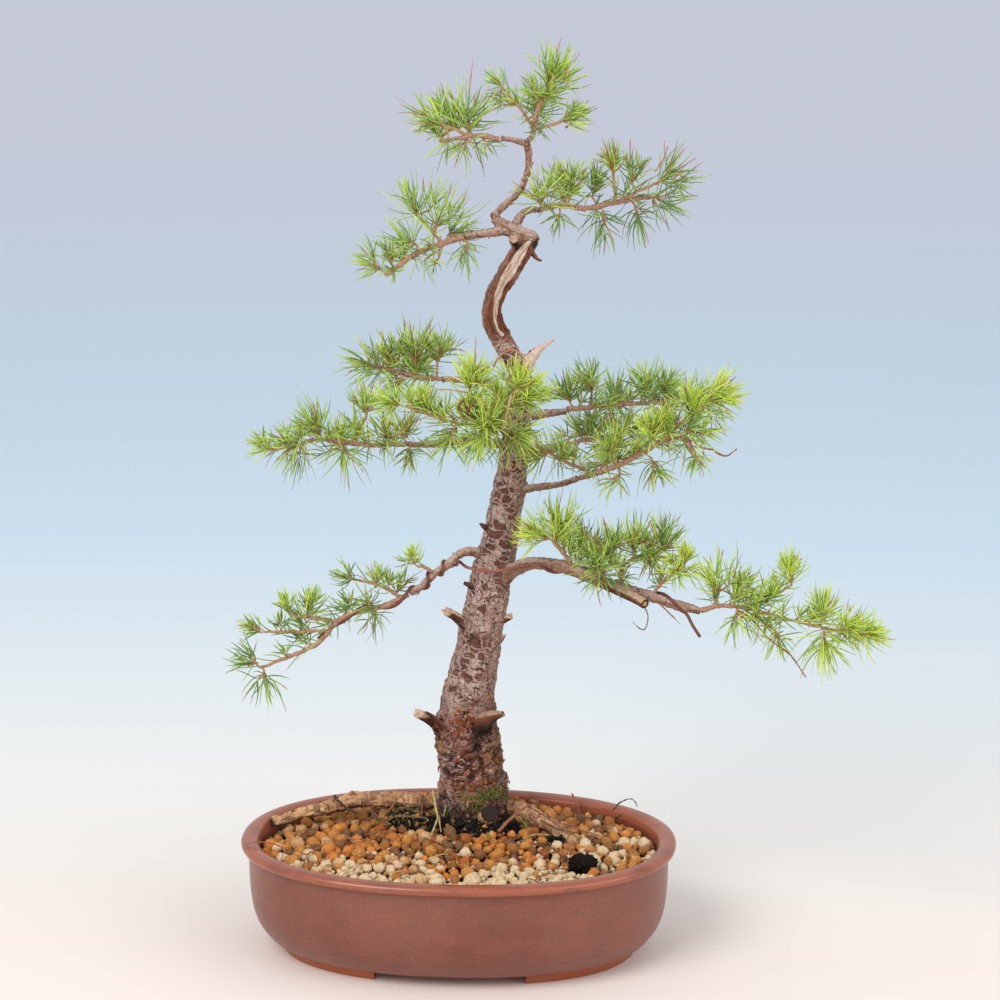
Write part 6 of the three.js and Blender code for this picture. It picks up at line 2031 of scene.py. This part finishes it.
def moss_places(chance):
    """Moss on the front of the trunk's foot, round its sawn stub, and a few sprigs on the black soil."""
    angle = chance.normal(0.42, 0.3, MOSS_ON_TRUNK)
    height = 71 + 13 * chance.beta(1.6, 1.9, MOSS_ON_TRUNK)
    girth = 19.2 + chance.uniform(-0.8, 0.9, MOSS_ON_TRUNK)
    front = np.column_stack([5.5 + girth * np.sin(angle), 36 - girth * np.cos(angle), height])
    facing = np.column_stack([np.sin(angle), -np.cos(angle), np.full(MOSS_ON_TRUNK, 0.5)])
    clear = np.linalg.norm((front - STUB_IN_MOSS) * (1, 0, 1), axis=1) > STUB_ROOM
    x, y = chance.normal(-31, 8, MOSS_ON_SOIL), chance.normal(24, 5, MOSS_ON_SOIL)
    low = np.column_stack([x, y, 61 + chance.uniform(0, 5, MOSS_ON_SOIL)])
    return np.vstack([front[clear], low]), np.vstack([facing[clear], np.tile((0, -0.3, 1), (MOSS_ON_SOIL, 1))])


def litter_material(soil):
    tree = Shader("litter")
    tone, grain = tree.attribute("tone"), tree.noise(tree.place(), 0.8, 4.0, 0.65)
    skin = tree.coats(
        soil.muck,
        (soil.litter, tone, 0.0, 0.7),
        (soil.straw, tone, 0.75, 1.0),
        (soil.moss, tone, 1.2, 1.6),
        (soil.straw, grain, 0.5, 0.7, 0.5),
    )
    return tree.finish(skin, 0.75, grain, 0.0003)


def moss_material(soil):
    tree = Shader("moss")
    tone, along = tree.attribute("tone"), tree.attribute("along")
    return tree.finish(tree.coats(soil.moss, (soil.straw, tone, 0.2, 0.9), (soil.muck, along, 0.5, 0.0, 0.8)), 0.8)


def fallen_needles(chance):
    """Strands for needles that have fallen on the soil."""
    found = []
    for _ in range(FALLEN):
        x, y = chance.uniform(-104, 104), chance.uniform(-66, 40)
        if not inside_pot(x, y, 22) or abs(x) + abs(y - 25) < 45:
            continue
        turn, size = chance.uniform(0, 6.28), chance.uniform(5, 9)
        ahead, aside = np.array([math.cos(turn), math.sin(turn)]) * size
        z = float(soil_height(x, y)) + 3.6
        bow = chance.normal(0, 1.5, 2)
        route = [[x - ahead, y - aside, z], [x + bow[0], y + bow[1], z + 0.9], [x + ahead, y + aside, z - 0.4]]
        found.append((0.42, chance.uniform(0.35, 0.95), route))
    return found


class LARCH_OT_muck(bpy.types.Operator):
    """Make the mounds of fine black soil with their crumbs"""

    bl_idname = "larch.muck"
    bl_label = "Black soil"

    def execute(self, context):
        settings = context.scene.larch_soil
        dark, grains = bed_material(settings), granule_material(settings)
        muck = lump_tree().run(muck_skin(), "black_soil", dark, Depth=5.0 * MM)
        chance = draws("crumbs")
        places = top_places(muck, 480, chance)
        keep(muck, dark, "granules", "soil")
        size = 0.4 + 1.5 * chance.uniform(0, 1, len(places)) ** 2.2
        tone = chance.choice([BLACK, GREY, OCHRE, CREAM], len(places), p=[0.66, 0.14, 0.16, 0.04])
        shade = chance.uniform(0, 1, len(places))
        points = mesh_object("crumb_points", places, size=size * MM, tone=tone, shade=shade)
        keep(granule_tree().run(points, "soil_crumbs", grains, Lumps=0.8), grains, "granules")
        return {"FINISHED"}


class LARCH_OT_moss(bpy.types.Operator):
    """Make the moss at the foot of the trunk"""

    bl_idname = "larch.moss"
    bl_label = "Moss"

    def execute(self, context):
        green = moss_material(context.scene.larch_soil)
        chance = draws("moss")
        points = hair_points("moss_points", *moss_places(chance), 1.6, 3.6, chance, 0.3)
        keep(needle_tree().run(points, "foot_moss", green, Width=0.7 * MM), green, "dark_needles")
        return {"FINISHED"}


class LARCH_OT_litter(bpy.types.Operator):
    """Make the rootlets, stalks and fallen needles on the soil"""

    bl_idname = "larch.litter"
    bl_label = "Litter"

    def execute(self, context):
        lines = Lines()
        for radius, tone, route in STRANDS + fallen_needles(draws("litter")):
            places, _, shares = curve_points([[*place, radius] for place in route], 1.1)
            lines.draw(places, radius * (1 - 0.45 * shares), tone)
        brown = litter_material(context.scene.larch_soil)
        keep(twig_tree().run(lines.mesh("strands"), "litter_strands", brown), brown, "bark")
        return {"FINISHED"}


# Floor, light and camera

CAMERA_PLACE = (121.5, -1409.0, 568.5)
CAMERA_TURN = (77.4, 0.0, 4.0)
CAMERA_LENS = 97.2
FLOOR_HALF = 40000.0
# Each lamp: name, place, size, power and tint
LAMPS = (
    ("key_light", (-900, -1300, 1500), 1.3, 26.0, (1.0, 0.985, 0.96)),
    ("fill_light", (1300, -700, 900), 1.6, 9.0, (0.95, 0.975, 1.0)),
)
LAMP_TARGET = (20, 10, 240)


def floor_material(settings):
    """A pale floor that turns from warm white near the pot to pale blue far behind it, by its own places: painted
    light, standing for the uneven studio light across the floor.
    """
    tree = Shader("pale_floor")
    behind = tree.times(tree.split(tree.place())[1], MM)
    distance = tree.math("LOGARITHM", tree.math("MAXIMUM", tree.plus(behind, 1.6), 0.2), 2.0)
    skin = tree.coats(
        settings.near,
        (settings.under, distance, 0.65, 0.9),
        (settings.middle, distance, 0.9, 1.35),
        (settings.far, distance, 1.75, 2.7),
    )
    return tree.finish(skin, 0.9, gloss=0.1)


def add_lamp(name, place, size, power, tint):
    data = bpy.data.lights.new(name, "AREA")
    data.shape = "DISK"
    data.size = size
    data.energy = power
    data.color = tint
    made = new_object(name, data)
    made.location = Vector(to_frame(place))
    made.rotation_euler = (Vector(to_frame(LAMP_TARGET)) - made.location).to_track_quat("-Z", "Y").to_euler()


class LARCH_OT_stage(bpy.types.Operator):
    """Set the pale floor, the soft light and the camera"""

    bl_idname = "larch.stage"
    bl_label = "Floor, light and camera"

    def execute(self, context):
        scene = context.scene
        settings = scene.larch_stage
        half = FLOOR_HALF
        corners = [(-half, -half, 0), (half, -half, 0), (half, half, 0), (-half, half, 0)]
        floor = mesh_object("floor", corners, [range(4)])
        floor.data.materials.append(floor_material(settings))
        for name, place, size, power, tint in LAMPS:
            add_lamp(name, place, size, power * settings.key, tint)
        world = scene.world or bpy.data.worlds.new("studio")
        scene.world = world
        world.use_nodes = True
        sky = next(n for n in world.node_tree.nodes if n.type == "BACKGROUND")
        sky.inputs["Color"].default_value = settings.sky
        sky.inputs["Strength"].default_value = settings.glow
        data = bpy.data.cameras.new("camera")
        data.lens = CAMERA_LENS
        camera = new_object("camera", data)
        camera.location = Vector(to_frame(CAMERA_PLACE))
        camera.rotation_euler = Euler(tuple(math.radians(turn) for turn in CAMERA_TURN))
        scene.camera = camera
        scene.view_settings.view_transform = "Standard"
        return {"FINISHED"}


# Panel and start

SETTINGS = {
    "larch_wood": WoodSettings,
    "larch_needles": NeedleSettings,
    "larch_pot": PotSettings,
    "larch_soil": SoilSettings,
    "larch_wire": WireSettings,
    "larch_stage": StageSettings,
}
OPERATORS = (
    LARCH_OT_wood, LARCH_OT_stubs, LARCH_OT_twigs, LARCH_OT_needles, LARCH_OT_pot, LARCH_OT_soil, LARCH_OT_muck,
    LARCH_OT_moss, LARCH_OT_litter, LARCH_OT_wire,
    LARCH_OT_stage,
)


class LARCH_PT_bonsai(bpy.types.Panel):
    bl_idname = "LARCH_PT_bonsai"
    bl_label = "Larch bonsai"
    bl_space_type = "VIEW_3D"
    bl_region_type = "UI"
    bl_category = "Bonsai"

    def draw(self, context):
        for operator in OPERATORS:
            self.layout.operator(operator.bl_idname)


def register():
    for group in SETTINGS.values():
        bpy.utils.register_class(group)
    for name, group in SETTINGS.items():
        setattr(bpy.types.Scene, name, PointerProperty(type=group))
    for operator in OPERATORS:
        bpy.utils.register_class(operator)
    bpy.utils.register_class(LARCH_PT_bonsai)


def unregister():
    bpy.utils.unregister_class(LARCH_PT_bonsai)
    for operator in reversed(OPERATORS):
        bpy.utils.unregister_class(operator)
    for name in SETTINGS:
        delattr(bpy.types.Scene, name)
    for group in reversed(list(SETTINGS.values())):
        bpy.utils.unregister_class(group)


def main():
    register()
    for operator in OPERATORS:
        family, name = operator.bl_idname.split(".")
        getattr(getattr(bpy.ops, family), name)()
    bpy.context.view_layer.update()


if __name__ == "__main__":
    main()
